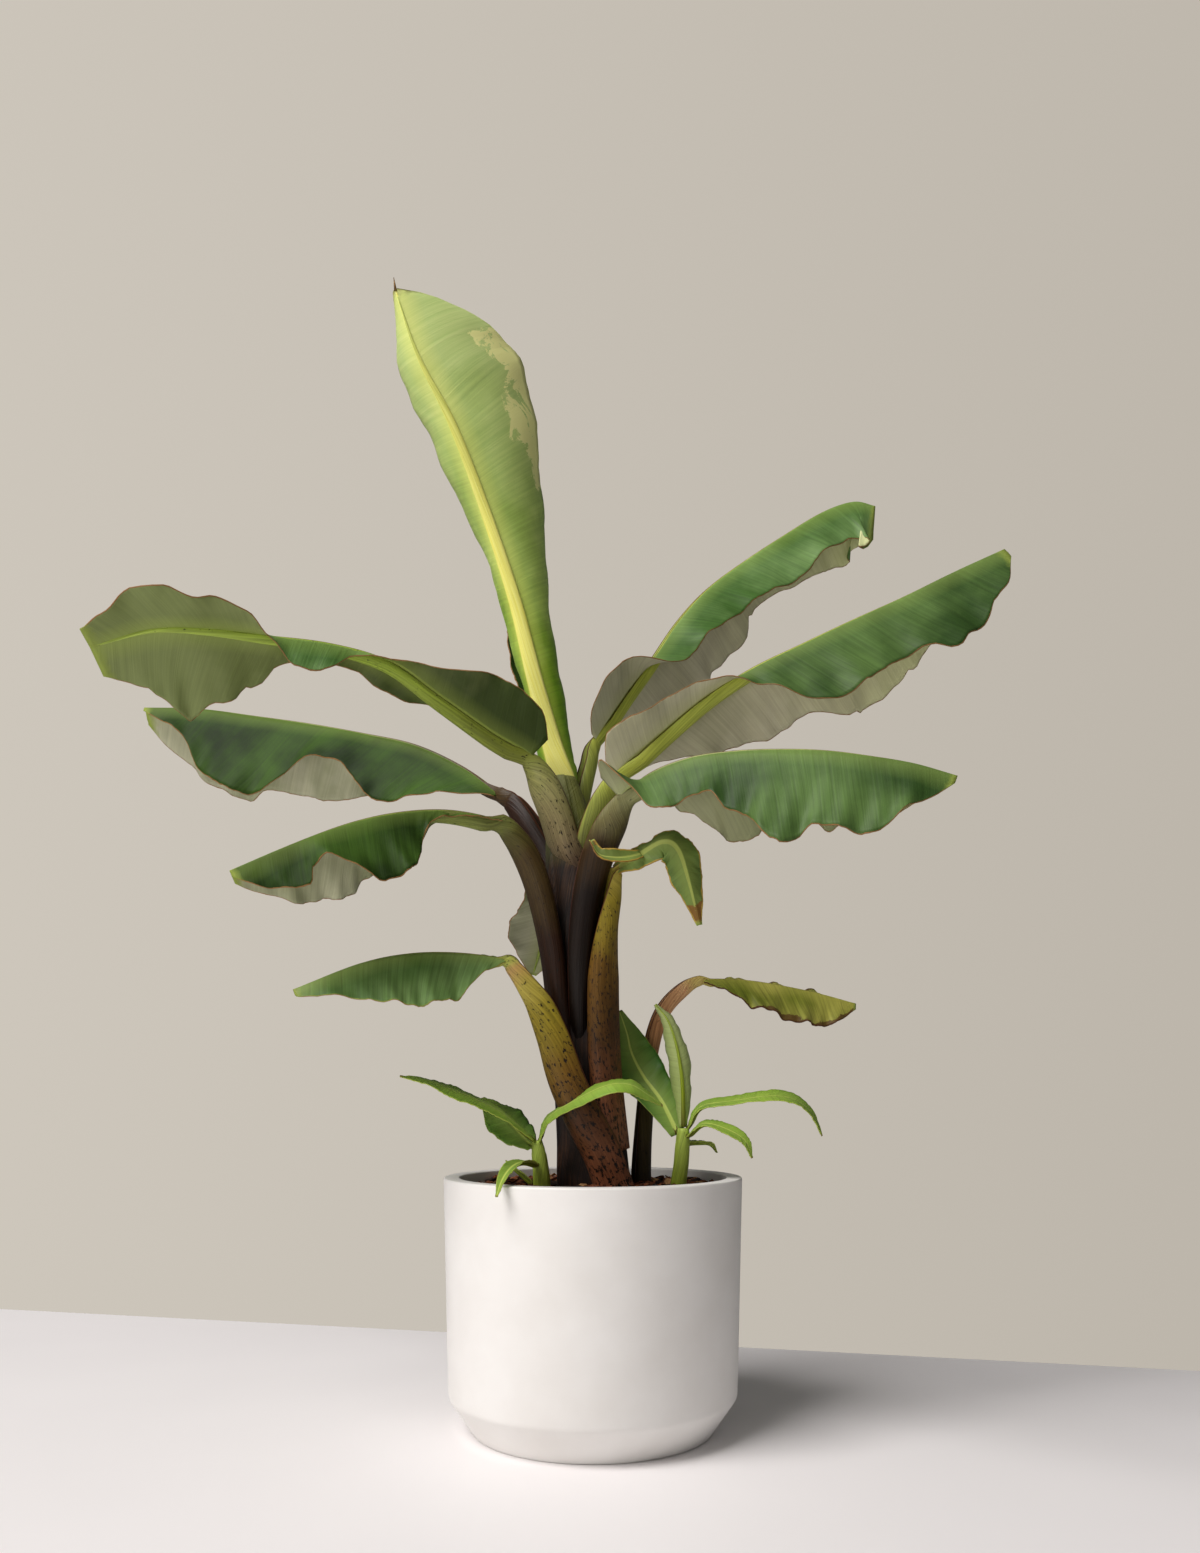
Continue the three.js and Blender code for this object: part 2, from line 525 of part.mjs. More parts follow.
// Leaves of the two young side shoots.
const SIDE_LEAVES = {
  left_1: {
    route: [[-56, -54, 47], [-84, -62, 72], [-109, -68, 86], [-133, -72, 96], [-157, -76, 105], [-182, -80, 109]],
    width: 11, fullest: 0.5, leans: [-30, 15],
  },
  left_2: {
    route: [[-58, -46, 40], [-75, -36, 56], [-92, -26, 73], [-111, -14, 88]],
    width: 16, fullest: 0.5, leans: [-35, 20],
  },
  left_3: {
    route: [[-53, -51, 45], [-44, -59, 68], [-17, -72, 86], [13, -80, 100], [35, -78, 101], [53, -70, 91],
      [67, -62, 81]],
    width: 10, fullest: 0.55, leans: [20, -40],
  },
  left_4: {
    route: [[-54, -57, 24], [-65, -82, 28], overRim(-124, -18, 16), overRim(-122, 3, 6),
      overRim(-120.5, 18, -8)],
    width: 6, fullest: 0.4, leans: [20, 20],
  },
  left_5: {
    route: [[-58, -50, 6], [-66, -50, 12], [-76, -52, 20], [-84, -54, 28]],
    width: 4, fullest: 0.4, leans: [20, 20],
  },
  right_1: {
    route: [[90, -22, 59], [89, -22, 101], [84, -22, 136], [75, -22, 164], [62, -22, 181]],
    width: 22, fullest: 0.4, leans: [10, 10], curl: 130, roll: 90,
  },
  right_2: {
    route: [[85, -17, 52], [69, -8, 85], [52, 4, 109], [40, 14, 133], [35, 20, 154], [27, 24, 178]],
    width: 17, fullest: 0.5, leans: [15, -10], roll: -60,
  },
  right_3: {
    route: [[94, -24, 58], [106, -30, 79], [137, -36, 85], [175, -40, 90], [198, -42, 86], [214, -42, 73],
      [224, -42, 51]],
    width: 9, fullest: 0.5, leans: [30, -20],
  },
  right_4: {
    route: [[93, -28, 50], [109, -40, 63], [132, -48, 57], [148, -52, 46], [154, -54, 30]],
    width: 7, fullest: 0.5, leans: [30, -20],
  },
  right_5: {
    route: [[94, -16, 44], [106, 0, 43], [119, 8, 41], [127, 12, 32]],
    width: 5, fullest: 0.4, leans: [20, 10],
  },
};

grow("pseudostem", (larger) => stemSolid(PSEUDOSTEM, STEM_SIDES, larger), "stem");
grow("side_stem_left", (larger) => stemSolid(SIDE_STEM_LEFT, SIDE_STEM_SIDES, larger), "young");
grow("side_stem_right", (larger) => stemSolid(SIDE_STEM_RIGHT, SIDE_STEM_SIDES, larger), "young");
for (const [name, leaf] of Object.entries(LEAVES)) {
  if (leaf.stalk) grow(`stalk_${name}`, (larger) => stalkSolid(leaf, larger), "stalk");
}
for (const [name, leaf] of Object.entries(LEAVES)) {
  grow(`blade_${name}`, (larger) => bladeSolid(leaf, larger), leaf.finish);
}
for (const [name, leaf] of Object.entries(SIDE_LEAVES)) {
  const side = sideLeaf(leaf);
  grow(`side_leaf_${name}`, (larger) => bladeSolid(side, larger), "young");
}

addMesh("potting_soil", carve(solidFrom(soilGeometry()), built), "soil");
addMesh("pot", solidFrom(potGeometry()), "ceramic");

export default group;
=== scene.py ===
"""Potted banana plant: the looks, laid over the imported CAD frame.

Metres, +Z up, origin at the centre of the pot's underside, +Y behind the plant.
Plant points are given in millimetres: across, back and above the soil.
"""
import math
import random

import bpy
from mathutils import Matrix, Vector, noise


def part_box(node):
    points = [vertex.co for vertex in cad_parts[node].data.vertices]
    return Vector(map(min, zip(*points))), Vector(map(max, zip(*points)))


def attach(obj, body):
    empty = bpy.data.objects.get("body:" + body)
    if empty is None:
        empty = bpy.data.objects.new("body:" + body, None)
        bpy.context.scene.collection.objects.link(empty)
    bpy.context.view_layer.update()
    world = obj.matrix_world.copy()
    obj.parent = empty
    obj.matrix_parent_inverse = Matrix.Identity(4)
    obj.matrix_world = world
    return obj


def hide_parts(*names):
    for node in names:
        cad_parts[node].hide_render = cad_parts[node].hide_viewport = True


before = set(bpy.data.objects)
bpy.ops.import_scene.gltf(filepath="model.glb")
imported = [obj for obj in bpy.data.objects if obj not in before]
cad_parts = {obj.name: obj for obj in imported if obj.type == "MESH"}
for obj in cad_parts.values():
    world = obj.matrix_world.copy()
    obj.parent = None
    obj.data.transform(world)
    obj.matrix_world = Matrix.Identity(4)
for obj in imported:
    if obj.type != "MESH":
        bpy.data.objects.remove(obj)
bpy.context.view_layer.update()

MM = 0.001
POT_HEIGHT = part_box("pot")[1].z
POT_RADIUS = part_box("pot")[1].x
SOIL_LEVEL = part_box("potting_soil")[1].z
UP = Vector((0, 0, 1))
random.seed(11)


# ---------------------------------------------------------------- small tools

def clear_selection():
    """Leaves edit mode and deselects everything, so that an operator acts on new work only."""
    if bpy.context.object and bpy.context.object.mode != "OBJECT":
        bpy.ops.object.mode_set(mode="OBJECT")
    bpy.ops.object.select_all(action="DESELECT")


def take_new_object(name):
    """Names the object that an operator has just made, and its mesh."""
    obj = bpy.context.object
    obj.name = name
    obj.data.name = name
    return obj


def put_at_origin():
    """Moves the selected object's place, turn and size into its mesh."""
    bpy.ops.object.transform_apply(location=True, rotation=True, scale=True)


def finish_piece(obj, slot, *nodes):
    """Hands a finished piece to the frame, with the CAD nodes that it stands for."""
    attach(obj, "root")
    if nodes:
        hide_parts(*nodes)
    return obj


def place(point):
    """A point across, back and above the soil in millimetres, as a place in metres."""
    return Vector((point[0] * MM, point[1] * MM, SOIL_LEVEL + point[2] * MM))


def value_at(stations, s, column=1):
    """Smooth value at fraction s, through a few stations, with no overshoot."""
    last = len(stations) - 1
    if s <= stations[0][0]:
        return stations[0][column]
    if s >= stations[last][0]:
        return stations[last][column]
    i = 0
    while s > stations[i + 1][0]:
        i += 1

    def slope(k):
        return (stations[k + 1][column] - stations[k][column]) / (stations[k + 1][0] - stations[k][0])

    def tangent(k):
        if k == 0:
            return slope(0)
        if k == last:
            return slope(last - 1)
        before, after = slope(k - 1), slope(k)
        if before * after <= 0:
            return 0.0
        return 2 * before * after / (before + after)

    width = stations[i + 1][0] - stations[i][0]
    t = (s - stations[i][0]) / width
    a, b = stations[i][column], stations[i + 1][column]
    ta, tb = tangent(i) * width, tangent(i + 1) * width
    return ((2 * t**3 - 3 * t**2 + 1) * a + (t**3 - 2 * t**2 + t) * ta
            + (3 * t**2 - 2 * t**3) * b + (t**3 - t**2) * tb)


class Route:
    """A smooth line through a few points, with its forward direction."""

    def __init__(self, points):
        self.points = [place(p) for p in points]
        self.spans = len(points) - 1

    def at(self, u):
        u = min(max(u, 0.0), self.spans)
        i = min(int(u), self.spans - 1)
        t = u - i
        p = self.points
        b, c = p[i], p[i + 1]
        a = p[i - 1] if i > 0 else b * 2 - c
        d = p[i + 2] if i + 2 <= self.spans else c * 2 - b
        return 0.5 * (2 * b + (c - a) * t + (2 * a - 5 * b + 4 * c - d) * t**2
                      + (3 * b - 3 * c + d - a) * t**3)

    def forward(self, u):
        step = 0.02
        return (self.at(u + step) - self.at(u - step)).normalized()


def lay_grid(name, across, along, put):
    """A flat grid, every corner put in its place; put gives the point and three texture places."""
    clear_selection()
    bpy.ops.mesh.primitive_grid_add(x_subdivisions=across, y_subdivisions=along, size=2, location=(0, 0, 0))
    obj = take_new_object(name)
    mesh = obj.data
    places = []
    for corner in mesh.vertices:
        j = round((corner.co.x + 1) / 2 * across)
        i = round((corner.co.y + 1) / 2 * along)
        point, surface, edge, run = put(i, j)
        corner.co = point
        places.append((surface, edge, run))
    mesh.uv_layers[0].name = "surface"
    for k, layer_name in enumerate(("surface", "edge", "run")):
        layer = mesh.uv_layers.get(layer_name) or mesh.uv_layers.new(name=layer_name)
        for loop in mesh.loops:
            layer.data[loop.index].uv = places[loop.vertex_index][k]
    return obj


def close_tube():
    """Joins the seam of a grid bent round into a tube and fills its two ends."""
    bpy.ops.object.mode_set(mode="EDIT")
    bpy.ops.mesh.select_all(action="SELECT")
    bpy.ops.mesh.remove_doubles(threshold=1e-6)
    bpy.ops.mesh.select_all(action="DESELECT")
    bpy.ops.mesh.select_non_manifold()
    bpy.ops.mesh.fill_holes(sides=0)
    bpy.ops.mesh.select_all(action="SELECT")
    bpy.ops.mesh.normals_make_consistent(inside=False)
    bpy.ops.object.mode_set(mode="OBJECT")
    bpy.ops.object.shade_smooth()


# ---------------------------------------------------------------- materials

def colour(text):
    """An sRGB hex colour as linear red, green, blue and alpha."""
    parts = [int(text[i:i + 2], 16) / 255 for i in (0, 2, 4)]
    return tuple(p / 12.92 if p <= 0.04045 else ((p + 0.055) / 1.055) ** 2.4 for p in parts) + (1.0,)


def add(tree, kind, links=None, stops=None, **settings):
    """Adds a node with its settings, its ramp stops and its links or values."""
    made = tree.nodes.new(kind)
    for key, value in settings.items():
        setattr(made, key, value)
    for key, value in (links or {}).items():
        if isinstance(value, bpy.types.NodeSocket):
            tree.links.new(value, made.inputs[key])
        else:
            made.inputs[key].default_value = value
    if stops:
        ramp = made.color_ramp
        while len(ramp.elements) < len(stops):
            ramp.elements.new(0.5)
        for element, (position, tone) in zip(ramp.elements, stops):
            element.position = position
            element.color = colour(tone) if isinstance(tone, str) else (tone, tone, tone, 1)
    return made


def new_material(name, roughness, ior=1.45, **sockets):
    """A Principled material; returns it with its node tree and shader."""
    made = bpy.data.materials.new(name)
    made.use_nodes = True
    tree = made.node_tree
    tree.nodes.clear()
    shader = add(tree, "ShaderNodeBsdfPrincipled", {"Roughness": roughness, "IOR": ior})
    for key, value in sockets.items():
        shader.inputs[key.replace("_", " ")].default_value = value
    add(tree, "ShaderNodeOutputMaterial", {"Surface": shader.outputs[0]})
    return made, tree, shader


# a Mix node that mixes colours
COLOURS = {"data_type": "RGBA"}
# a side vein runs this far towards the tip for each step out from the midrib
VEIN_LEAN = 0.35


def blotch_cover(tree, here, runs, edges, blotch):
    """Ragged patches that reach in from the margin on one stretch of a leaf: 0 is bare, 1 is covered."""
    _, reach, start, end, one_half = blotch
    patches = add(tree, "ShaderNodeTexNoise", {"Vector": here.outputs["Object"], "Scale": 24, "Detail": 7,
                                               "Roughness": 0.72, "Distortion": 0.9})
    limits = [
        add(tree, "ShaderNodeMapRange", {0: edges.outputs[1], 2: reach * MM, 3: 0.14, 4: -0.25}),
        add(tree, "ShaderNodeMapRange", {0: runs.outputs[0], 1: start, 2: start + 0.05, 3: -0.5, 4: 0.0}),
        add(tree, "ShaderNodeMapRange", {0: runs.outputs[0], 1: end, 2: end + 0.05, 3: 0.0, 4: -0.5}),
    ]
    if one_half:
        limits.append(add(tree, "ShaderNodeMapRange", {0: runs.outputs[1], 1: 0.1, 2: 0.3, 3: -0.6, 4: 0.0}))
    odds = patches
    for limit in limits:
        odds = add(tree, "ShaderNodeMath", {0: odds.outputs[0], 1: limit.outputs[0]}, operation="ADD")
    return add(tree, "ShaderNodeMapRange", {0: odds.outputs[0], 1: 0.49, 2: 0.52, 4: 0.92})


def leaf_face(name, dark, light, rib, margin="8f6a40", foot=None, far=None, streak=0.16, roughness=0.46,
              blotch=None, tip="8d9c46", tip_from=0.985, margin_width=0.8, polish=0.3):
    """Living banana leaf: waxy skin over fine side veins that leave the midrib and lean to the tip.

    The eye sees silky stripes across the blade, a pale midrib, a thin dry margin and soft clouding.
    """
    made, tree, shader = new_material(name, roughness, 1.42, Specular_IOR_Level=polish)
    surface = add(tree, "ShaderNodeUVMap", uv_map="surface")
    split = add(tree, "ShaderNodeSeparateXYZ", {0: surface.outputs[0]})
    run = add(tree, "ShaderNodeUVMap", uv_map="run")
    runs = add(tree, "ShaderNodeSeparateXYZ", {0: run.outputs[0]})
    edge = add(tree, "ShaderNodeUVMap", uv_map="edge")
    edges = add(tree, "ShaderNodeSeparateXYZ", {0: edge.outputs[0]})
    here = add(tree, "ShaderNodeTexCoord")
    out = add(tree, "ShaderNodeMath", {0: split.outputs[0]}, operation="ABSOLUTE")
    lean = add(tree, "ShaderNodeMath", {0: out.outputs[0], 1: -VEIN_LEAN, 2: split.outputs[1]},
               operation="MULTIPLY_ADD")
    veins = add(tree, "ShaderNodeCombineXYZ", {0: out.outputs[0], 1: lean.outputs[0]})
    # side veins about 4 mm apart with hair veins of about 1.5 mm between them
    coarse_at = add(tree, "ShaderNodeMapping", {0: veins.outputs[0], 3: (5, 250, 1)})
    coarse = add(tree, "ShaderNodeTexNoise", {"Vector": coarse_at.outputs[0], "Scale": 1, "Detail": 2})
    fine_at = add(tree, "ShaderNodeMapping", {0: veins.outputs[0], 3: (12, 640, 1)})
    fine = add(tree, "ShaderNodeTexNoise", {"Vector": fine_at.outputs[0], "Scale": 1, "Detail": 2})
    part = add(tree, "ShaderNodeMath", {0: coarse.outputs[0], 1: 0.55}, operation="MULTIPLY")
    stripes = add(tree, "ShaderNodeMath", {0: fine.outputs[0], 1: 0.45, 2: part.outputs[0]},
                  operation="MULTIPLY_ADD")
    # clouds about 80 mm across
    cloud = add(tree, "ShaderNodeTexNoise", {"Vector": here.outputs["Object"], "Scale": 13, "Detail": 4})
    ground = add(tree, "ShaderNodeValToRGB", {0: cloud.outputs[0]}, stops=[(0.36, dark), (0.64, light)])
    tone = ground.outputs[0]
    wander = add(tree, "ShaderNodeMath", {0: cloud.outputs[0], 1: 0.5, 2: runs.outputs[0]},
                 operation="MULTIPLY_ADD")
    if foot:
        near = add(tree, "ShaderNodeMapRange", {0: wander.outputs[0], 1: 0.78, 2: 0.5, 4: 0.95})
        tone = add(tree, "ShaderNodeMix", {0: near.outputs[0], 6: tone, 7: colour(foot)},
                   **COLOURS).outputs[2]
    # towards the tip the tone turns to the far colour; on the new leaf this is painted sheen
    if far:
        away = add(tree, "ShaderNodeMapRange", {0: wander.outputs[0], 1: 0.65, 2: 1.1, 4: 0.9})
        tone = add(tree, "ShaderNodeMix", {0: away.outputs[0], 6: tone, 7: colour(far)}, **COLOURS).outputs[2]
    stripe_tone = add(tree, "ShaderNodeValToRGB", {0: stripes.outputs[0]},
                      stops=[(0.38, 0.5 - streak / 2), (0.62, 0.5 + streak / 2)])
    tone = add(tree, "ShaderNodeMix", {0: 1.0, 6: tone, 7: stripe_tone.outputs[0]},
               **COLOURS, blend_type="OVERLAY").outputs[2]
    # the skin pales a little along the midrib
    beside = add(tree, "ShaderNodeMapRange", {0: out.outputs[0], 1: 0.022, 2: 0.004, 4: 0.3})
    tone = add(tree, "ShaderNodeMix", {0: beside.outputs[0], 6: tone, 7: colour(rib)}, **COLOURS).outputs[2]
    from_rib = add(tree, "ShaderNodeMath", {0: edges.outputs[0]}, operation="ABSOLUTE")
    rib_part = add(tree, "ShaderNodeMapRange", {0: from_rib.outputs[0], 1: 1.15, 2: 0.7, 4: 0.9})
    tone = add(tree, "ShaderNodeMix", {0: rib_part.outputs[0], 6: tone, 7: colour(rib)}, **COLOURS).outputs[2]
    if blotch:
        patch = blotch_cover(tree, here, runs, edges, blotch)
        tone = add(tree, "ShaderNodeMix", {0: patch.outputs[0], 6: tone, 7: colour(blotch[0])},
                   **COLOURS).outputs[2]
    # the dry margin wanders every 6 mm or so
    ragged = add(tree, "ShaderNodeTexNoise", {"Vector": here.outputs["Object"], "Scale": 160, "Detail": 2})
    dry = add(tree, "ShaderNodeMath", {0: ragged.outputs[0], 1: margin_width * 2 * MM}, operation="MULTIPLY")
    at_margin = add(tree, "ShaderNodeMath", {0: edges.outputs[1], 1: dry.outputs[0]}, operation="LESS_THAN")
    tone = add(tree, "ShaderNodeMix", {0: at_margin.outputs[0], 6: tone, 7: colour(margin)},
               **COLOURS).outputs[2]
    tip_edge = add(tree, "ShaderNodeMath", {0: ragged.outputs[0], 1: 0.02, 2: runs.outputs[0]},
                   operation="MULTIPLY_ADD")
    at_tip = add(tree, "ShaderNodeMapRange", {0: tip_edge.outputs[0], 1: tip_from, 2: tip_from + 0.02})
    tone = add(tree, "ShaderNodeMix", {0: at_tip.outputs[0], 6: tone, 7: colour(tip)}, **COLOURS).outputs[2]
    tree.links.new(tone, shader.inputs["Base Color"])
    gloss = add(tree, "ShaderNodeMapRange", {0: stripes.outputs[0], 3: roughness - 0.06, 4: roughness + 0.1})
    tree.links.new(gloss.outputs[0], shader.inputs["Roughness"])
    relief = add(tree, "ShaderNodeBump", {"Strength": 0.35, "Distance": 0.0012, "Height": stripes.outputs[0]})
    tree.links.new(relief.outputs[0], shader.inputs["Normal"])
    return made


def stalk_skin(name, stops, speck="1c1510", specks=0.3, edge_tone="5a2f22", roughness=0.45):
    """Banana leaf stalk: smooth waxy rind with long fibres, dark freckles and dry brown margins.

    The colour runs from the sheath at the stem to the midrib.
    """
    made, tree, shader = new_material(name, roughness, 1.42, Specular_IOR_Level=0.28)
    run = add(tree, "ShaderNodeUVMap", uv_map="run")
    runs = add(tree, "ShaderNodeSeparateXYZ", {0: run.outputs[0]})
    here = add(tree, "ShaderNodeTexCoord")
    wander = add(tree, "ShaderNodeTexNoise", {"Vector": here.outputs["Object"], "Scale": 26, "Detail": 4})
    shift = add(tree, "ShaderNodeMath", {0: wander.outputs[0], 1: 0.16, 2: runs.outputs[0]},
                operation="MULTIPLY_ADD")
    back = add(tree, "ShaderNodeMath", {0: shift.outputs[0], 1: 0.08}, operation="SUBTRACT")
    ground = add(tree, "ShaderNodeValToRGB", {0: back.outputs[0]}, stops=stops)
    surface = add(tree, "ShaderNodeUVMap", uv_map="surface")
    # fibres about 1 mm wide run along the stalk
    fibre_at = add(tree, "ShaderNodeMapping", {0: surface.outputs[0], 3: (900, 14, 1)})
    fibres = add(tree, "ShaderNodeTexNoise", {"Vector": fibre_at.outputs[0], "Scale": 1, "Detail": 3})
    fibre_tone = add(tree, "ShaderNodeValToRGB", {0: fibres.outputs[0]}, stops=[(0.35, 0.36), (0.65, 0.62)])
    tone = add(tree, "ShaderNodeMix", {0: 1.0, 6: ground.outputs[0], 7: fibre_tone.outputs[0]},
               **COLOURS, blend_type="OVERLAY").outputs[2]
    # freckles of 2 to 5 mm, drawn out along the stalk
    freckle_at = add(tree, "ShaderNodeMapping", {0: surface.outputs[0], 3: (430, 140, 1)})
    freckle = add(tree, "ShaderNodeTexNoise", {"Vector": freckle_at.outputs[0], "Scale": 1, "Detail": 4,
                                               "Roughness": 0.7})
    lower = add(tree, "ShaderNodeMapRange", {0: runs.outputs[0], 1: 0.05, 2: 0.55, 3: specks * 0.14, 4: 0.0})
    crowd = add(tree, "ShaderNodeMath", {0: freckle.outputs[0], 1: lower.outputs[0]}, operation="ADD")
    spotted = add(tree, "ShaderNodeMapRange",
                  {0: crowd.outputs[0], 1: 0.72 - specks * 0.2, 2: 0.75 - specks * 0.2})
    tone = add(tree, "ShaderNodeMix", {0: spotted.outputs[0], 6: tone, 7: colour(speck)},
               **COLOURS).outputs[2]
    edge = add(tree, "ShaderNodeUVMap", uv_map="edge")
    edges = add(tree, "ShaderNodeSeparateXYZ", {0: edge.outputs[0]})
    dry = add(tree, "ShaderNodeMapRange", {0: edges.outputs[0], 1: 0.55, 2: 0.9})
    tone = add(tree, "ShaderNodeMix", {0: dry.outputs[0], 6: tone, 7: colour(edge_tone)},
               **COLOURS).outputs[2]
    tree.links.new(tone, shader.inputs["Base Color"])
    relief = add(tree, "ShaderNodeBump", {"Strength": 0.5, "Distance": 0.0015, "Height": fibres.outputs[0]})
    tree.links.new(relief.outputs[0], shader.inputs["Normal"])
    return made


def dry_point():
    """Dried leaf tip: dull papery brown, paler where it is thin."""
    made, tree, shader = new_material("dried_leaf_tip", 0.7, 1.4)
    here = add(tree, "ShaderNodeTexCoord")
    mottle = add(tree, "ShaderNodeTexNoise", {"Vector": here.outputs["Object"], "Scale": 400, "Detail": 3})
    tone = add(tree, "ShaderNodeValToRGB", {0: mottle.outputs[0]}, stops=[(0.4, "4a3018"), (0.62, "94713a")])
    tree.links.new(tone.outputs[0], shader.inputs["Base Color"])
    return made


def dry_sheaths():
    """Old banana leaf sheaths: papery, nearly black brown, with tan fibres where they are worn."""
    made, tree, shader = new_material("dry_leaf_sheath", 0.62, 1.4)
    surface = add(tree, "ShaderNodeUVMap", uv_map="surface")
    run = add(tree, "ShaderNodeUVMap", uv_map="run")
    runs = add(tree, "ShaderNodeSeparateXYZ", {0: run.outputs[0]})
    here = add(tree, "ShaderNodeTexCoord")
    # fibres about 1.6 mm wide run up the stem, over worn patches about 35 mm across
    fibre_at = add(tree, "ShaderNodeMapping", {0: surface.outputs[0], 3: (620, 9, 1)})
    fibres = add(tree, "ShaderNodeTexNoise", {"Vector": fibre_at.outputs[0], "Scale": 1, "Detail": 5})
    patches = add(tree, "ShaderNodeTexNoise", {"Vector": here.outputs["Object"], "Scale": 28, "Detail": 5})
    part = add(tree, "ShaderNodeMath", {0: fibres.outputs[0], 1: 0.5}, operation="MULTIPLY")
    worn = add(tree, "ShaderNodeMath", {0: patches.outputs[0], 1: 0.5, 2: part.outputs[0]},
               operation="MULTIPLY_ADD")
    ground = add(tree, "ShaderNodeValToRGB", {0: worn.outputs[0]},
                 stops=[(0.36, "120c09"), (0.5, "2a1b13"), (0.6, "4a3120"), (0.7, "7d5a3a")])
    # the foot is tan and orange brown, the crown olive
    height = add(tree, "ShaderNodeValToRGB", {0: runs.outputs[0]},
                 stops=[(0.1, "8a5c3a"), (0.3, "3a261a"), (0.72, "2f2416"), (0.9, "6c7038")])
    tone = add(tree, "ShaderNodeMix", {0: 0.5, 6: ground.outputs[0], 7: height.outputs[0]},
               **COLOURS, blend_type="OVERLAY").outputs[2]
    crown = add(tree, "ShaderNodeMapRange", {0: runs.outputs[0], 1: 0.8, 2: 0.92, 4: 0.75})
    tone = add(tree, "ShaderNodeMix", {0: crown.outputs[0], 6: tone, 7: colour("767a3c")},
               **COLOURS).outputs[2]
    tree.links.new(tone, shader.inputs["Base Color"])
    relief = add(tree, "ShaderNodeBump", {"Strength": 0.8, "Distance": 0.003, "Height": worn.outputs[0]})
    tree.links.new(relief.outputs[0], shader.inputs["Normal"])
    return made


def glazed_ceramic():
    """Slip-cast stoneware with a soft matte white glaze: even, faintly mottled and slightly orange-peeled."""
    made, tree, shader = new_material("matte_white_glaze", 0.42, 1.5)
    here = add(tree, "ShaderNodeTexCoord")
    mottle = add(tree, "ShaderNodeTexNoise", {"Vector": here.outputs["Object"], "Scale": 14, "Detail": 4})
    tone = add(tree, "ShaderNodeValToRGB", {0: mottle.outputs[0]}, stops=[(0.3, "e9e6e2"), (0.7, "f1efec")])
    tree.links.new(tone.outputs[0], shader.inputs["Base Color"])
    # glaze ripple of about 2 mm
    ripple = add(tree, "ShaderNodeTexNoise", {"Vector": here.outputs["Object"], "Scale": 480, "Detail": 2})
    gloss = add(tree, "ShaderNodeMapRange", {0: mottle.outputs[0], 3: 0.38, 4: 0.5})
    tree.links.new(gloss.outputs[0], shader.inputs["Roughness"])
    relief = add(tree, "ShaderNodeBump", {"Strength": 0.08, "Distance": 0.0006, "Height": ripple.outputs[0]})
    tree.links.new(relief.outputs[0], shader.inputs["Normal"])
    return made


def grains(name, dark, light, size_mm, roughness=0.9):
    """Crumbly stuff, such as peat or bark: rough, dark in its hollows, light on its broken faces."""
    made, tree, shader = new_material(name, roughness, 1.4)
    here = add(tree, "ShaderNodeTexCoord")
    crumbs = add(tree, "ShaderNodeTexNoise", {"Vector": here.outputs["Object"], "Scale": 1000 / size_mm,
                                              "Detail": 6, "Roughness": 0.65})
    tone = add(tree, "ShaderNodeValToRGB", {0: crumbs.outputs[0]}, stops=[(0.35, dark), (0.68, light)])
    tree.links.new(tone.outputs[0], shader.inputs["Base Color"])
    relief = add(tree, "ShaderNodeBump", {"Strength": 0.9, "Distance": 0.002, "Height": crumbs.outputs[0]})
    tree.links.new(relief.outputs[0], shader.inputs["Normal"])
    return made


# blotches: colour, how far in from the margin in millimetres, where they start and end, one half only
PALE_PATCH = ("f4f2a2", 75, 0.62, 0.9, True)
DEAD_TIP = ("7a5426", 14, 0.86, 1.0, False)
DEAD_EDGE = ("5e4220", 12, 0.3, 1.0, False)

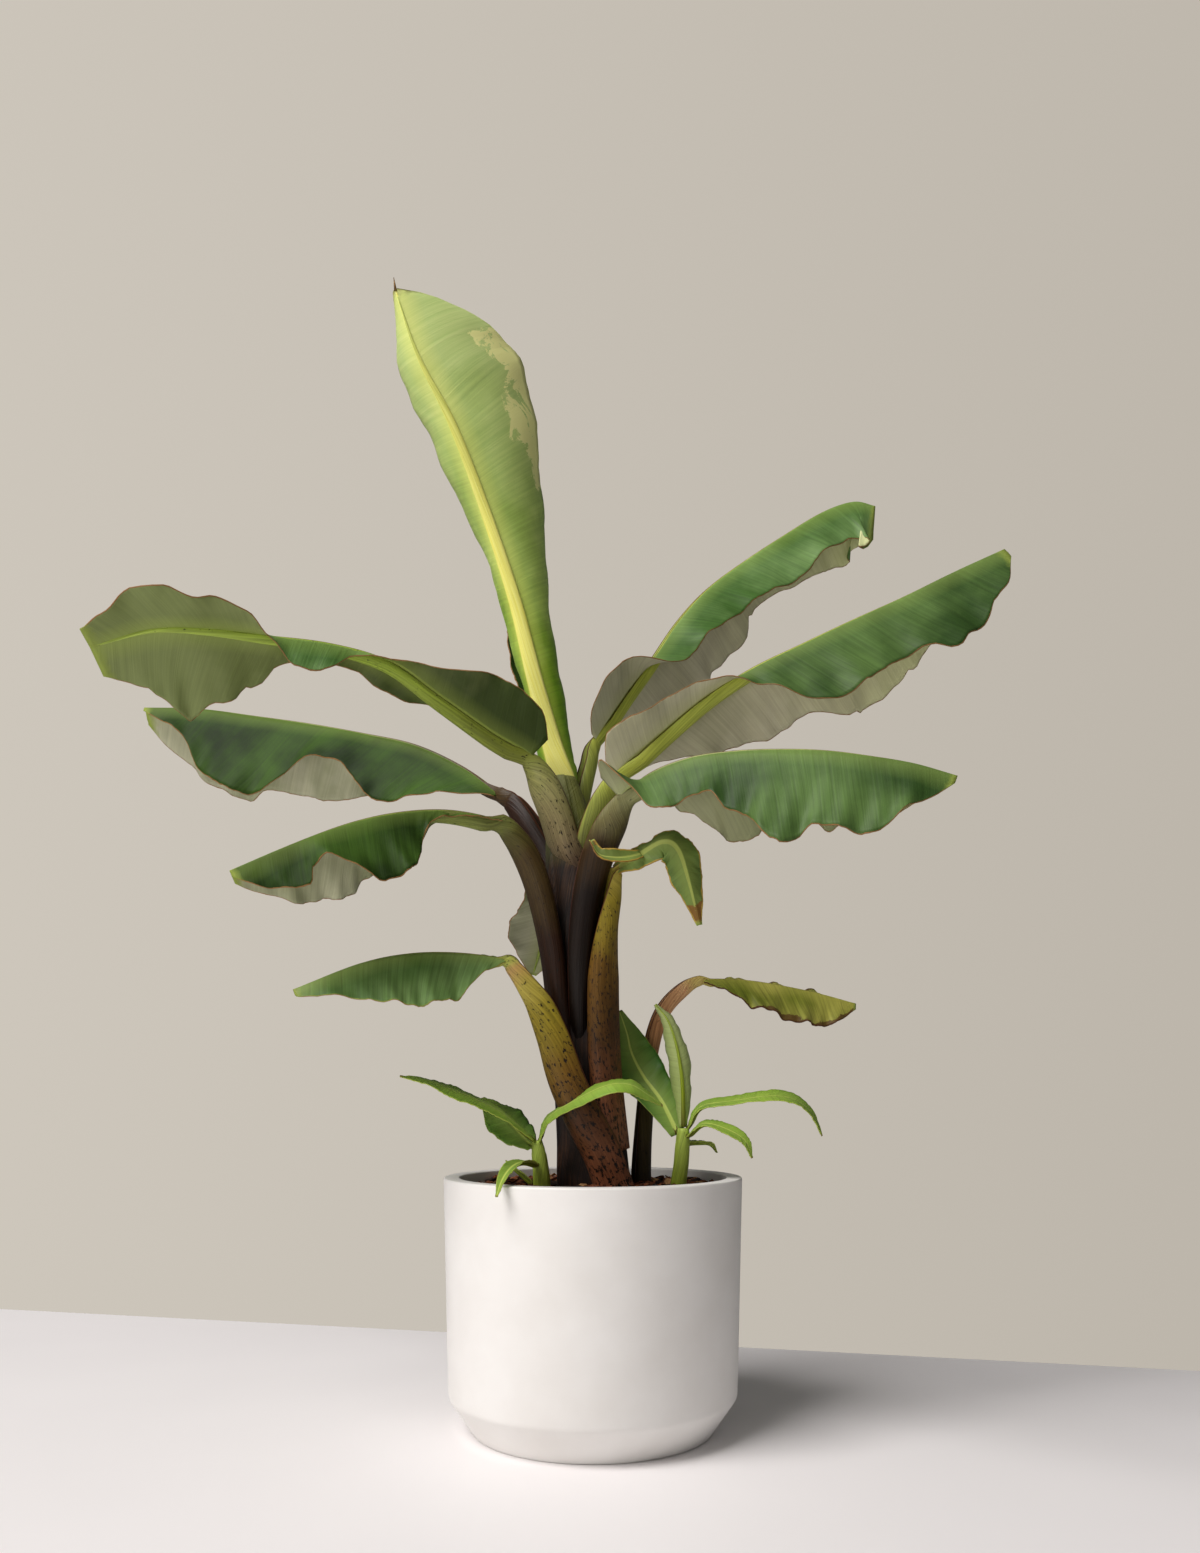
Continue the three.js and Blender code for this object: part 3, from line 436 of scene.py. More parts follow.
FACES = {
    # dark_top: a darker copy of the leaf top, with painted shade in its colour
    "dark_top": leaf_face("mature_leaf_top", "1a2c0a", "3a561c", "8fa84e", roughness=0.55, polish=0.14),
    # dark_back: the grey-green underside made paler, with painted light in its colour that stands in for
    # light shining through the leaf
    "dark_back": leaf_face("mature_leaf_back", "979a78", "b8b89a", "b5bf68", foot="56622f", streak=0.1,
                           roughness=0.6),
    "high_back": leaf_face("high_leaf_back", "5a6430", "868c5c", "a9bb55", foot="30400c", far="7c8852",
                           streak=0.08, roughness=0.55),
    # middle_top: a copy of the leaf top in a tone between the painted shade of dark_top and the painted sheen
    # of pale_top
    "middle_top": leaf_face("broad_leaf_top", "2e481c", "56723a", "9cb55c", roughness=0.48, polish=0.24),
    "middle_back": leaf_face("broad_leaf_back", "667040", "8a9068", "a9b868", foot="9a9c78", streak=0.1,
                             roughness=0.6),
    # pale_top: a paler, bluer copy of the leaf top, with painted sheen in its colour
    "pale_top": leaf_face("bright_leaf_top", "44672c", "709054", "a9c55e", roughness=0.46, polish=0.24),
    # pale_back: the grey-green underside made paler still, with painted light in its colour that stands in
    # for light shining through the leaf
    "pale_back": leaf_face("bright_leaf_back", "bab696", "d2cdb0", "c6cc6a", far="ccd296", streak=0.1,
                           roughness=0.6),
    # the far tone turns the upper new leaf paler and bluish: painted sheen over its own yellow-green
    "spear_top": leaf_face("new_leaf_top", "7f9c3c", "a3ba62", "e9e774", foot="6f8f2c", far="b4c48a",
                           streak=0.1, roughness=0.45),
    "spear_back": leaf_face("new_leaf_back", "7ba022", "a4c646", "faf47c", foot="6c9818", far="c4d68a",
                            streak=0.12, roughness=0.4, blotch=PALE_PATCH, margin="b8c834",
                            tip="4a3018", tip_from=0.995),
    "low_top": leaf_face("low_leaf_top", "55793a", "7d9c5a", "bccc68", margin="9aa64a", streak=0.22,
                         roughness=0.46),
    "low_back": leaf_face("low_leaf_back", "8fa064", "a8b47a", "c3cf62", roughness=0.6),
    "curly_top": leaf_face("withering_leaf_top", "2f451c", "5a7636", "a9b45c", margin="a88c3c",
                           roughness=0.52, margin_width=1.4, blotch=DEAD_TIP),
    "curly_back": leaf_face("withering_leaf_back", "56632f", "7c8a4c", "b8c260", foot="38461c", far="93a45a",
                            margin="8a6432", roughness=0.6, margin_width=1.4, blotch=DEAD_TIP),
    "yellow_top": leaf_face("yellowing_leaf_top", "727c24", "b0ac50", "ccc55e", margin="5a3a1c",
                            streak=0.26, roughness=0.5, blotch=DEAD_EDGE, margin_width=1.8),
    "yellow_back": leaf_face("yellowing_leaf_back", "a0a454", "c0bc66", "d2ca62", margin="5a3a1c",
                             roughness=0.6, blotch=DEAD_EDGE, margin_width=1.8),
    "young_top": leaf_face("young_leaf_top", "3e7416", "84ac34", "c4d468", margin="a9b850", roughness=0.4,
                           tip="8a6a34", margin_width=0.5),
    "young_back": leaf_face("young_leaf_back", "7e9c40", "a6bc62", "ccd870", margin="a9b850", roughness=0.5,
                            margin_width=0.5),
    # shaded_top: a darker copy of young_top, with painted shade in its colour
    "shaded_top": leaf_face("older_young_leaf_top", "3c6c24", "6a9440", "c4d46c", margin="9cb04c",
                            roughness=0.42, margin_width=0.5),
    # sheen_back: a greyer copy of young_back, with painted sheen in its colour
    "sheen_back": leaf_face("rolled_leaf_back", "7c944c", "a4b478", "c8d080", margin="a8b858",
                            roughness=0.42, margin_width=0.5),
}

SKINS = {
    "spear": stalk_skin("new_leaf_midrib", [(0.0, "f6f08a"), (0.6, "f1ec7c"), (1.0, "b5c262")], specks=0.0,
                        edge_tone="e6dd74"),
    "olive": stalk_skin("olive_stalk", [(0.0, "4a3426"), (0.08, "7a6a4c"), (0.2, "8f8a58"), (0.32, "7c8432"),
                                        (0.6, "93aa3c"), (1.0, "a9bd58")], specks=0.42),
    "dark": stalk_skin("brown_green_stalk", [(0.0, "1c0f08"), (0.25, "2c180c"), (0.4, "4a3a1c"),
                                             (0.5, "565224"), (0.62, "7e8646"), (1.0, "9cb052")],
                       specks=0.42),
    "black": stalk_skin("black_brown_stalk", [(0.0, "120903"), (0.2, "180c05"), (0.3, "38260f"),
                                              (0.38, "6c6640"), (0.46, "8c8e60"), (1.0, "a9b85c")],
                        specks=0.34),
    "speckled": stalk_skin("speckled_stalk", [(0.0, "9a6448"), (0.07, "7a4a30"), (0.16, "4c3016"),
                                              (0.26, "6a4c18"), (0.4, "8c7c24"), (0.5, "b0a046"),
                                              (0.58, "b89458"), (0.66, "a8ae52"), (1.0, "b5c05c")],
                           specks=0.56),
    "green": stalk_skin("green_stalk", [(0.0, "5c5a2c"), (0.12, "8c9444"), (0.3, "b8c04e"), (1.0, "b0bf5c")],
                        specks=0.18),
    "golden": stalk_skin("golden_stalk", [(0.0, "241a10"), (0.2, "4a3f1c"), (0.36, "c08a5c"),
                                          (0.5, "d8a878"), (0.6, "c4b860"), (1.0, "b5b858")], specks=0.3),
    "young": stalk_skin("young_stem", [(0.0, "6a6a2a"), (0.2, "80901e"), (1.0, "a4b850")], specks=0.1),
}
DRY_POINT = dry_point()
SHEATH = dry_sheaths()
GLAZE = glazed_ceramic()
PEAT = grains("moist_peat", "0f0906", "3a2417", 4)
BARK = grains("pine_bark_chip", "4a2414", "a3603a", 3)
PALE_BARK = grains("pale_wood_chip", "8a6038", "c79a68", 3)


# ---------------------------------------------------------------- leaves

def frame_at(route, level, roll, u):
    """The place on a route with its sideways and upward directions, rolled about the route."""
    forward = route.forward(u)
    side = (level - forward * level.dot(forward)).normalized()
    up = forward.cross(side)
    turned = side * math.cos(roll) + up * math.sin(roll)
    return route.at(u), turned, forward.cross(turned)


def level_of(route, blade_from):
    """The level direction square to the way that a leaf points."""
    outward = route.at(route.spans) - route.at(blade_from)
    outward.z = 0
    return UP.cross(outward.normalized())


RIB_COLUMNS = 3
BLADE_THICKNESS = 0.8 * MM
GROOVE_DEPTH = 0.0012
FOLD_HEIGHT = 0.0011
TEAR_WIDTH = 0.008


def fade(s):
    """Waves die out towards the foot and the tip of a blade."""
    return min(1.0, s / 0.15) * min(1.0, (1.02 - s) / 0.12)


def margin_nick(leaf, sign, s, seed):
    """The share of its width that a half keeps, with small nicks and the leaf's tears."""
    nick = 1.0 + 0.018 * noise.noise(Vector((s * 60, seed, sign * 7.0)))
    for where, which, depth in leaf.get("tears", ()):
        if which == sign:
            nick -= depth * math.exp(-((s - where) / TEAR_WIDTH) ** 2)
    return nick


def margin_wave(leaf, sign, s, seed, full):
    """How far the margin of a half rises or falls, less where the half is narrow."""
    height, waves = leaf.get("wavy", (3.5, 5.5))
    return height * MM * min(1.0, full / 0.03) * (
        math.sin(2 * math.pi * (waves * s + 0.13 * seed + 0.25 * sign))
        + 0.5 * math.sin(2 * math.pi * (waves * 2.3 * s + 0.31 * seed)))


def half_line(leaf, sign, s, spot, seed, half):
    """One half of a blade at fraction s, as points from the middle of the midrib out to the margin."""
    at, side, up = spot
    part = leaf["left"] if sign == 1 else leaf["right"]
    rib = value_at(leaf["rib"], s) * MM
    full = value_at(part["width"], s) * MM
    lean = math.radians(value_at(part["lean"], s))
    curl = math.radians(value_at(part["curl"], s)) if "curl" in part else 0.0
    width = full * margin_nick(leaf, sign, s, seed)
    rib_part = min(0.5, rib / width)
    wave = margin_wave(leaf, sign, s, seed, full)
    x = y = 0.0
    last = 0.0
    line = []
    for j in range(half + RIB_COLUMNS + 1):
        if j <= RIB_COLUMNS:
            t = rib_part * j / RIB_COLUMNS
        else:
            t = rib_part + (1 - rib_part) * (j - RIB_COLUMNS) / half
        angle = lean * 0.3 if j <= RIB_COLUMNS else lean + curl * (t + last) / 2
        x += math.cos(angle) * (t - last) * width
        y += math.sin(angle) * (t - last) * width
        last = t
        normal = up * math.cos(angle) - side * (sign * math.sin(angle))
        fold = FOLD_HEIGHT * t * noise.noise(Vector((s * 46 - t * 5, t * 0.8, seed + sign)))
        lift = wave * t * t * fade(s) + fold
        groove = -GROOVE_DEPTH * min(1.0, rib / 0.005) * math.exp(-(t * width / (rib * 0.55)) ** 2)
        point = at + side * (sign * x) + up * y + normal * (lift + groove)
        line.append((point, sign * t * width, width * (1 - t), sign * t, t * width / rib))
    return line


def blade(name, leaf, top, back, along=96, half=16, nodes=()):
    """A leaf blade: a grid laid along the route, bent to its halves, then given its thickness."""
    route = Route(leaf["route"])
    start = leaf.get("blade_from", 0)
    level = level_of(route, start)
    roll = math.radians(leaf.get("roll", 0))
    seed = sum(ord(c) for c in name) * 0.37
    columns = 2 * (half + RIB_COLUMNS)
    rows = []
    run_length = 0.0
    before = route.at(start)
    for i in range(along + 1):
        s = i / along
        spot = frame_at(route, level, roll, start + (route.spans - start) * s)
        run_length += (spot[0] - before).length
        before = spot[0]
        row = {sign: half_line(leaf, sign, s, spot, seed, half) for sign in (1, -1)}
        rows.append((row, run_length, s))

    middle = half + RIB_COLUMNS

    def put(i, j):
        row, length, s = rows[i]
        sign = 1 if j < middle else -1
        point, across, to_edge, t, in_ribs = row[sign][abs(j - middle)]
        return point, (across, length), (in_ribs, to_edge), (s, t)

    obj = lay_grid(name, columns, along, put)
    obj.data.materials.append(FACES[top])
    obj.data.materials.append(FACES[back])
    bpy.ops.object.shade_smooth()
    wall = obj.modifiers.new("thickness", "SOLIDIFY")
    wall.thickness = BLADE_THICKNESS
    wall.offset = 0
    wall.material_offset = 1
    wall.material_offset_rim = 1
    bpy.ops.object.modifier_apply(modifier=wall.name)
    return finish_piece(obj, leaf.get("slot", "blade"), *nodes)


# stalk section, one side, from the channel floor over the edge and down to the keel
STALK_SIDE = [(0.0, 0.3), (0.2, 0.33), (0.42, 0.42), (0.58, 0.58), (0.72, 0.74), (0.82, 0.75),
              (0.92, 0.62), (1.0, 0.3), (1.0, 0.0), (0.95, -0.33), (0.84, -0.58), (0.66, -0.79),
              (0.42, -0.93), (0.2, -0.99), (0.0, -1.0)]
STALK_SECTION = STALK_SIDE + [(-x, y) for x, y in reversed(STALK_SIDE[1:-1])]
# how dry each point of the section is: the two edges of the channel are brown
DRY_EDGE = {4: 1.0, 5: 1.0, 3: 0.4, 6: 0.4}
# a stalk that starts higher than this above the soil, in millimetres, is wrapped on the main stem
WRAPPED_FROM = 60
WRAPPED_PART = 0.3
WRAP_SINK = 0.75
STEM_MIDDLE_X = -6 * MM


def stalk(name, leaf, skin, along=90, nodes=(), slot="stalk"):
    """A leaf stalk with its midrib: one tapering channelled tube from the sheath to the blade's tip."""
    route = Route(leaf["route"])
    start = leaf.get("blade_from", 0)
    level = level_of(route, start)
    roll = math.radians(leaf.get("roll", 0))
    around = len(STALK_SECTION)
    end = route.spans * 0.985
    on_stem = slot == "stalk" and leaf["route"][0][2] > WRAPPED_FROM
    length = [0.0]
    spots = []
    for i in range(along + 1):
        u = end * i / along
        # a sheath wraps the stem squarely; only the blade is turned
        turned = roll * min(1.0, max(0.0, 2 * u / start - 1)) if start else roll
        spots.append(frame_at(route, level, turned, u))
        if i:
            length.append(length[-1] + (spots[i][0] - spots[i - 1][0]).length)

    def put(i, j):
        at, side, up = spots[i]
        u = end * i / along
        if u < start:
            s = u / start
            across = value_at(leaf["stalk"], s) * MM
            deep = value_at(leaf["stalk"], s, 2) * MM
            sink = 0.0
        else:
            s = (u - start) / (route.spans - start)
            across = value_at(leaf["rib"], s) * MM
            deep = value_at(leaf["rib"], s, 2) * MM
            sink = min(1.0, s / 0.06) * (0.75 * deep + 0.0002)
        k = j % around
        x, y = STALK_SECTION[k]
        mirrored = around - k if k > around / 2 else k
        swell = 1 + 0.03 * noise.noise(Vector((k * 0.5, i * 0.12, len(name))))
        point = at + side * (x * across * swell) + up * (y * deep * swell - sink)
        if u < start * WRAPPED_PART and on_stem:
            # the foot of a sheath sinks into the wrap of the stem
            inward = Vector((STEM_MIDDLE_X - at.x, -at.y, 0))
            point += inward * WRAP_SINK * (1 - u / (start * WRAPPED_PART)) ** 2
        perimeter = j / around * 5.2 * across
        edge = (DRY_EDGE.get(mirrored, 0.0), 0.0)
        return point, (perimeter, length[i]), edge, (u / route.spans, j / around)

    obj = lay_grid(name, around, along, put)
    close_tube()
    obj.data.materials.append(SKINS[skin])
    return finish_piece(obj, slot, *nodes)


# Leaves from the crown. route: from the sheath to the tip; blade_from: the route point where the blade
# starts; stalk: fraction, half width, depth; rib: the same along the blade; left and right halves:
# width (half of the blade), lean (above or below level, degrees) and curl (degrees); roll: degrees about
# the route; wavy: height of the margin's waves and their number; tears: where, in which half (1 is left,
# -1 is right) and how deep, as a share of the width.
LEAVES = {
    "spear": dict(
        route=[[-30, 0, 402], [-32, 0, 414], [-43, 0, 451], [-60, 4, 515], [-80, 6, 595], [-108, 2, 680],
               [-141, -8, 765], [-175, -14, 831], [-198, -14, 898]],
        roll=90, slot="spear", wavy=(2.0, 4.5),
        rib=[[0, 14, 6], [0.07, 13, 5.4], [0.24, 10, 4], [0.37, 8, 3.2], [0.5, 6.4, 2.6], [0.74, 4, 1.6],
             [0.9, 1.4, 0.7], [1, 0.5, 0.3]],
        left=dict(
            width=[[0, 11], [0.08, 21], [0.22, 47], [0.4, 62], [0.56, 77], [0.74, 107], [0.84, 116],
                   [0.93, 90], [0.98, 40], [1, 2]],
            lean=[[0, 5], [0.5, 5], [1, 0]], curl=[[0, 60], [0.2, 120], [0.5, 95], [0.7, 55], [1, 30]]),
        right=dict(
            width=[[0, 11], [0.1, 18], [0.3, 40], [0.6, 50], [0.9, 44], [1, 10]],
            lean=[[0, 40], [0.3, 66], [0.6, 60], [0.8, 42], [1, 50]], curl=[[0, 30], [1, 50]])),
    "back_upright": dict(
        route=[[-22, 22, 354], [-24, 34, 398], [-30, 50, 439], [-49, 80, 496], [-68, 120, 570],
               [-85, 160, 646]],
        blade_from=2, wavy=(2.0, 3.0),
        stalk=[[0, 14, 10], [1, 7, 6]], rib=[[0, 5, 5], [1, 0.6, 0.6]],
        left=dict(width=[[0, 8], [0.3, 24], [0.65, 34], [0.85, 24], [1, 2]], lean=[[0, 20], [1, 15]]),
        right=dict(width=[[0, 8], [0.3, 16], [0.65, 22], [0.85, 18], [1, 2]], lean=[[0, 30], [1, 25]])),
    "left_high": dict(
        route=[[-21, -10, 307], [-31, -14, 348], [-45, -18, 390], [-64, -24, 424], [-102, -40, 445],
               [-148, -60, 473], [-193, -80, 500], [-243, -100, 509], [-298, -120, 509], [-346, -138, 508],
               [-391, -150, 503], [-440, -160, 484]],
        blade_from=3, tears=((0.93, -1, 0.08), (0.66, -1, 0.1)),
        stalk=[[0, 22, 14], [0.4, 22, 15], [0.7, 19, 15], [1, 9, 9]],
        rib=[[0, 8, 8], [0.5, 5, 5], [1, 0.6, 0.6]],
        left=dict(
            width=[[0, 30], [0.05, 50], [0.12, 55], [0.19, 50], [0.25, 35], [0.31, 20], [0.38, 9],
                   [0.45, 12], [0.5, 32], [0.53, 37], [0.57, 33], [0.61, 16], [0.67, 35], [0.74, 48],
                   [0.8, 60], [0.84, 66], [0.88, 58], [0.94, 46], [1, 30]],
            lean=[[0, 64], [0.3, 58], [0.38, 0], [0.45, -60], [0.5, -74], [0.58, -74], [0.62, -10],
                  [0.66, 12], [1, 12]]),
        right=dict(
            width=[[0, 12], [0.2, 10], [0.25, 18], [0.31, 27], [0.38, 29], [0.44, 22], [0.52, 20],
                   [0.6, 31], [0.625, 48], [0.69, 67], [0.75, 75], [0.79, 90], [0.815, 95], [0.84, 86],
                   [0.88, 74], [0.94, 52], [1, 30]],
            lean=[[0, 40], [0.2, -10], [0.35, -50], [0.6, -45], [1, -42]])),
    "left_middle": dict(
        route=[[-32, 12, 290], [-42, 20, 327], [-62, 32, 365], [-82, 46, 397], [-96, 52, 408],
               [-137, 80, 444], [-194, 108, 477], [-259, 134, 498], [-326, 156, 516], [-396, 174, 531],
               [-462, 186, 543], [-530, 194, 547]],
        blade_from=4, tears=((0.9, -1, 0.06),),
        stalk=[[0, 20, 13], [0.5, 18, 14], [1, 10, 9]], rib=[[0, 8, 8], [0.5, 5, 5], [1, 0.6, 0.6]],
        left=dict(
            width=[[0, 12], [0.07, 32], [0.14, 51], [0.21, 71], [0.29, 86], [0.33, 82], [0.39, 65],
                   [0.43, 53], [0.48, 50], [0.54, 60], [0.57, 82], [0.61, 104], [0.66, 110],
                   [0.71, 104], [0.79, 86], [0.86, 50], [0.92, 29], [1, 5]],
            lean=[[0, -45], [0.2, -64], [0.35, -64], [0.45, -52], [0.56, -64], [1, -60]]),
        right=dict(
            width=[[0, 12], [0.15, 36], [0.3, 58], [0.37, 65], [0.43, 76], [0.53, 89], [0.61, 92],
                   [0.7, 88], [0.75, 107], [0.79, 104], [0.86, 91], [0.92, 64], [0.97, 42], [1, 20]],
            lean=[[0, -10], [0.25, -30], [0.45, -58], [1, -60]])),
    "left_low": dict(
        route=[[-26, -22, 76], [-33, -24, 136], [-36, -26, 185], [-41, -28, 234], [-51, -32, 283],
               [-63, -40, 319], [-77, -50, 342], [-92, -60, 354], [-133, -90, 357], [-175, -118, 349],
               [-216, -142, 334], [-263, -164, 310], [-311, -180, 284]],
        blade_from=7, stalk=[[0, 12, 8], [0.3, 14, 10], [0.7, 15, 12], [1, 9, 9]],
        rib=[[0, 8, 8], [0.5, 5, 5], [1, 0.6, 0.6]],
        left=dict(
            width=[[0, 12], [0.2, 11], [0.3, 18], [0.35, 30], [0.4, 50], [0.455, 64], [0.52, 69], [0.6, 68],
                   [0.68, 45], [0.745, 30], [0.78, 33], [0.81, 47], [0.85, 44], [0.9, 35], [0.95, 24],
                   [1, 8]],
            lean=[[0, -10], [0.3, -62], [0.64, -62], [0.74, -40], [0.82, -62], [1, -60]]),
        right=dict(
            width=[[0, 12], [0.2, 16], [0.25, 21], [0.3, 38], [0.4, 53], [0.48, 60], [0.54, 66], [0.6, 76],
                   [0.7, 74], [0.8, 66], [0.9, 46], [0.96, 30], [1, 14]],
            lean=[[0, 20], [0.2, -40], [0.5, -50], [1, -52]])),
    "left_lowest": dict(
        route=[[23, -34, -3], [9, -44, 36], [-10, -50, 73], [-26, -50, 110], [-38, -49, 148],
               [-50, -48, 177], [-63, -50, 197], [-75, -52, 213], [-85, -54, 222], [-127, -66, 227],
               [-172, -80, 225], [-217, -94, 214], [-275, -110, 188]],
        blade_from=8, slot="yellowing", wavy=(3.0, 4.0),
        stalk=[[0, 20, 20], [0.35, 17, 19], [0.6, 12, 15], [0.8, 9, 10], [1, 7, 7]],
        rib=[[0, 6, 6], [0.5, 4, 4], [1, 0.6, 0.6]],
        left=dict(
            width=[[0, 8], [0.14, 30], [0.3, 60], [0.5, 66], [0.68, 58], [0.85, 34], [1, 10]],
            lean=[[0, -40], [0.3, -55], [1, -50]]),
        right=dict(width=[[0, 8], [0.2, 40], [0.6, 50], [0.85, 30], [1, 10]],
                   lean=[[0, 14], [0.14, 8], [0.3, -24], [1, -32]])),
    "right_high": dict(
        route=[[-20, 14, 363], [-13, 22, 400], [-5, 34, 435], [1, 46, 461], [29, 72, 513], [60, 98, 564],
               [93, 122, 620], [127, 142, 664], [169, 160, 702], [216, 174, 738], [266, 184, 772],
               [304, 189, 787], [331, 191, 783]],
        blade_from=3, tears=((0.55, 1, 0.14),),
        stalk=[[0, 15, 11], [1, 8, 8]], rib=[[0, 7, 7], [0.5, 5, 5], [1, 0.6, 0.6]],
        left=dict(
            width=[[0, 12], [0.14, 36], [0.3, 84], [0.4, 98], [0.5, 92], [0.54, 82], [0.58, 62], [0.7, 64],
                   [0.8, 72], [0.92, 62], [1, 40]],
            lean=[[0, -20], [0.25, -58], [0.86, -58], [1, -55]]),
        right=dict(
            width=[[0, 14], [0.04, 34], [0.1, 42], [0.19, 34], [0.26, 40], [0.4, 52], [0.55, 58],
                   [0.64, 62], [0.7, 52], [0.77, 50], [0.84, 58], [0.93, 76], [0.98, 70], [1, 50]],
            lean=[[0, 65], [0.14, 50], [0.26, -50], [0.6, -58], [0.82, -60], [1, -76]])),
    "right_upper": dict(
        route=[[-13, -14, 326], [-3, -20, 360], [10, -26, 387], [25, -32, 406], [68, -36, 445],
               [112, -38, 481], [156, -38, 509], [204, -36, 533], [254, -32, 558], [307, -26, 584],
               [359, -18, 612], [413, -10, 639]],
        blade_from=3, tears=((0.6, 1, 0.05), (0.74, 1, 0.06)),
        stalk=[[0, 16, 12], [0.5, 15, 12], [1, 9, 9]], rib=[[0, 8, 8], [0.5, 5, 5], [1, 0.6, 0.6]],
        left=dict(
            width=[[0, 12], [0.125, 40], [0.25, 67], [0.375, 79], [0.5, 75], [0.56, 88], [0.625, 98],
                   [0.68, 94], [0.75, 76], [0.86, 50], [1, 6]],
            lean=[[0, -10], [0.2, -50], [0.6, -52], [1, -50]]),
        right=dict(
            width=[[0, 22], [0.05, 42], [0.18, 30], [0.3, 22], [0.36, 30], [0.43, 62], [0.49, 80],
                   [0.53, 82], [0.6, 74], [0.68, 68], [0.72, 71], [0.765, 86], [0.8, 77], [0.85, 72],
                   [0.9, 54], [0.945, 44], [1, 12]],
            lean=[[0, 75], [0.16, 50], [0.28, 30], [0.37, -60], [0.7, -64], [1, -62]])),
    "right_middle": dict(
        route=[[-11, -26, 126], [-11, -30, 185], [-9, -36, 243], [-3, -44, 291], [6, -56, 323],
               [18, -70, 349], [31, -84, 369], [53, -102, 387], [89, -122, 397], [128, -140, 398],
               [165, -156, 395], [202, -170, 390], [238, -182, 382], [273, -192, 373], [308, -200, 360]],
        blade_from=6, tears=((0.55, 1, 0.06),),
        stalk=[[0, 18, 10], [0.5, 20, 13], [0.8, 18, 14], [1, 10, 9]],
        rib=[[0, 8, 8], [0.5, 5, 5], [1, 0.6, 0.6]],
        left=dict(
            width=[[0, 12], [0.12, 42], [0.18, 53], [0.22, 68], [0.26, 83], [0.33, 88], [0.4, 84],
                   [0.44, 72], [0.5, 58], [0.58, 62], [0.65, 78], [0.71, 60], [0.85, 50], [1, 6]],
            lean=[[0, 0], [0.15, -50], [0.5, -56], [1, -50]]),
        right=dict(
            width=[[0, 34], [0.05, 44], [0.1, 36], [0.135, 54], [0.19, 61], [0.25, 53], [0.29, 51],
                   [0.34, 55], [0.39, 71], [0.46, 78], [0.52, 100], [0.58, 108], [0.62, 98], [0.65, 87],
                   [0.72, 85], [0.81, 83], [0.865, 71], [0.91, 46], [0.96, 28], [1, 8]],
            lean=[[0, 85], [0.06, 60], [0.12, -44], [0.18, -60], [1, -60]])),
    "withered": dict(
        route=[[21, -24, 36], [14, -28, 106], [11, -31, 175], [12, -34, 234], [16, -40, 277],
               [23, -50, 309], [43, -70, 319], [66, -82, 330], [80, -90, 321], [90, -92, 291],
               [100, -92, 250]],
        blade_from=5, roll=65, slot="yellowing", wavy=(3.0, 4.0),
        stalk=[[0, 25, 12], [0.5, 21, 12], [0.8, 16, 11], [1, 7, 7]],
        rib=[[0, 4, 4], [0.5, 2.5, 2.5], [1, 0.6, 0.6]],
        left=dict(width=[[0, 7], [0.3, 14], [0.7, 18], [1, 3]], lean=[[0, 20], [0.4, -20], [1, -30]]),
        right=dict(width=[[0, 7], [0.3, 16], [0.7, 20], [1, 3]], lean=[[0, -10], [0.4, -30], [1, -40]])),
    "withered_curl": dict(
        route=[[46, -75, 320], [34, -82, 316], [20, -88, 314], [6, -88, 317], [-2, -86, 330]],
        roll=-60, slot="yellowing", wavy=(1.0, 2.0),
        rib=[[0, 1.5, 1.5], [1, 0.6, 0.6]],
        left=dict(width=[[0, 5], [0.5, 9], [1, 4]], lean=[[0, 10], [1, 40]]),
        right=dict(width=[[0, 5], [0.5, 9], [1, 4]], lean=[[0, 10], [1, 40]])),
    "back_low": dict(
        route=[[-22, 24, 261], [-20, 44, 306], [-24, 74, 331], [-29, 104, 342], [-38, 150, 338],
               [-50, 190, 312], [-62, 214, 275], [-74, 226, 235]],
        blade_from=3, wavy=(3.0, 3.0),
        stalk=[[0, 16, 11], [1, 8, 8]], rib=[[0, 7, 7], [1, 0.6, 0.6]],
        left=dict(width=[[0, 10], [0.3, 38], [0.7, 50], [1, 6]], lean=[[0, 10], [0.4, -15], [1, -15]]),
        right=dict(width=[[0, 10], [0.3, 34], [0.7, 36], [1, 4]], lean=[[0, 10], [0.4, -30], [1, -30]])),
    "right_low": dict(
        route=[[48, 16, -13], [50, 20, 34], [54, 26, 86], [59, 34, 136], [71, 42, 176], [92, 50, 201],
               [115, 56, 213], [158, 66, 214], [201, 76, 209], [244, 84, 201], [286, 90, 190]],
        blade_from=6, slot="yellowing", wavy=(3.5, 4.0),
        stalk=[[0, 12, 11], [0.4, 9, 9], [0.8, 8, 9], [1, 6, 6]],
        rib=[[0, 5, 5], [0.5, 3.5, 3.5], [1, 0.6, 0.6]],
        left=dict(width=[[0, 8], [0.3, 34], [0.7, 40], [0.9, 24], [1, 6]], lean=[[0, 4], [1, 8]]),
        right=dict(width=[[0, 8], [0.3, 42], [0.6, 50], [0.85, 38], [1, 8]], lean=[[0, -45], [1, -62]])),
}

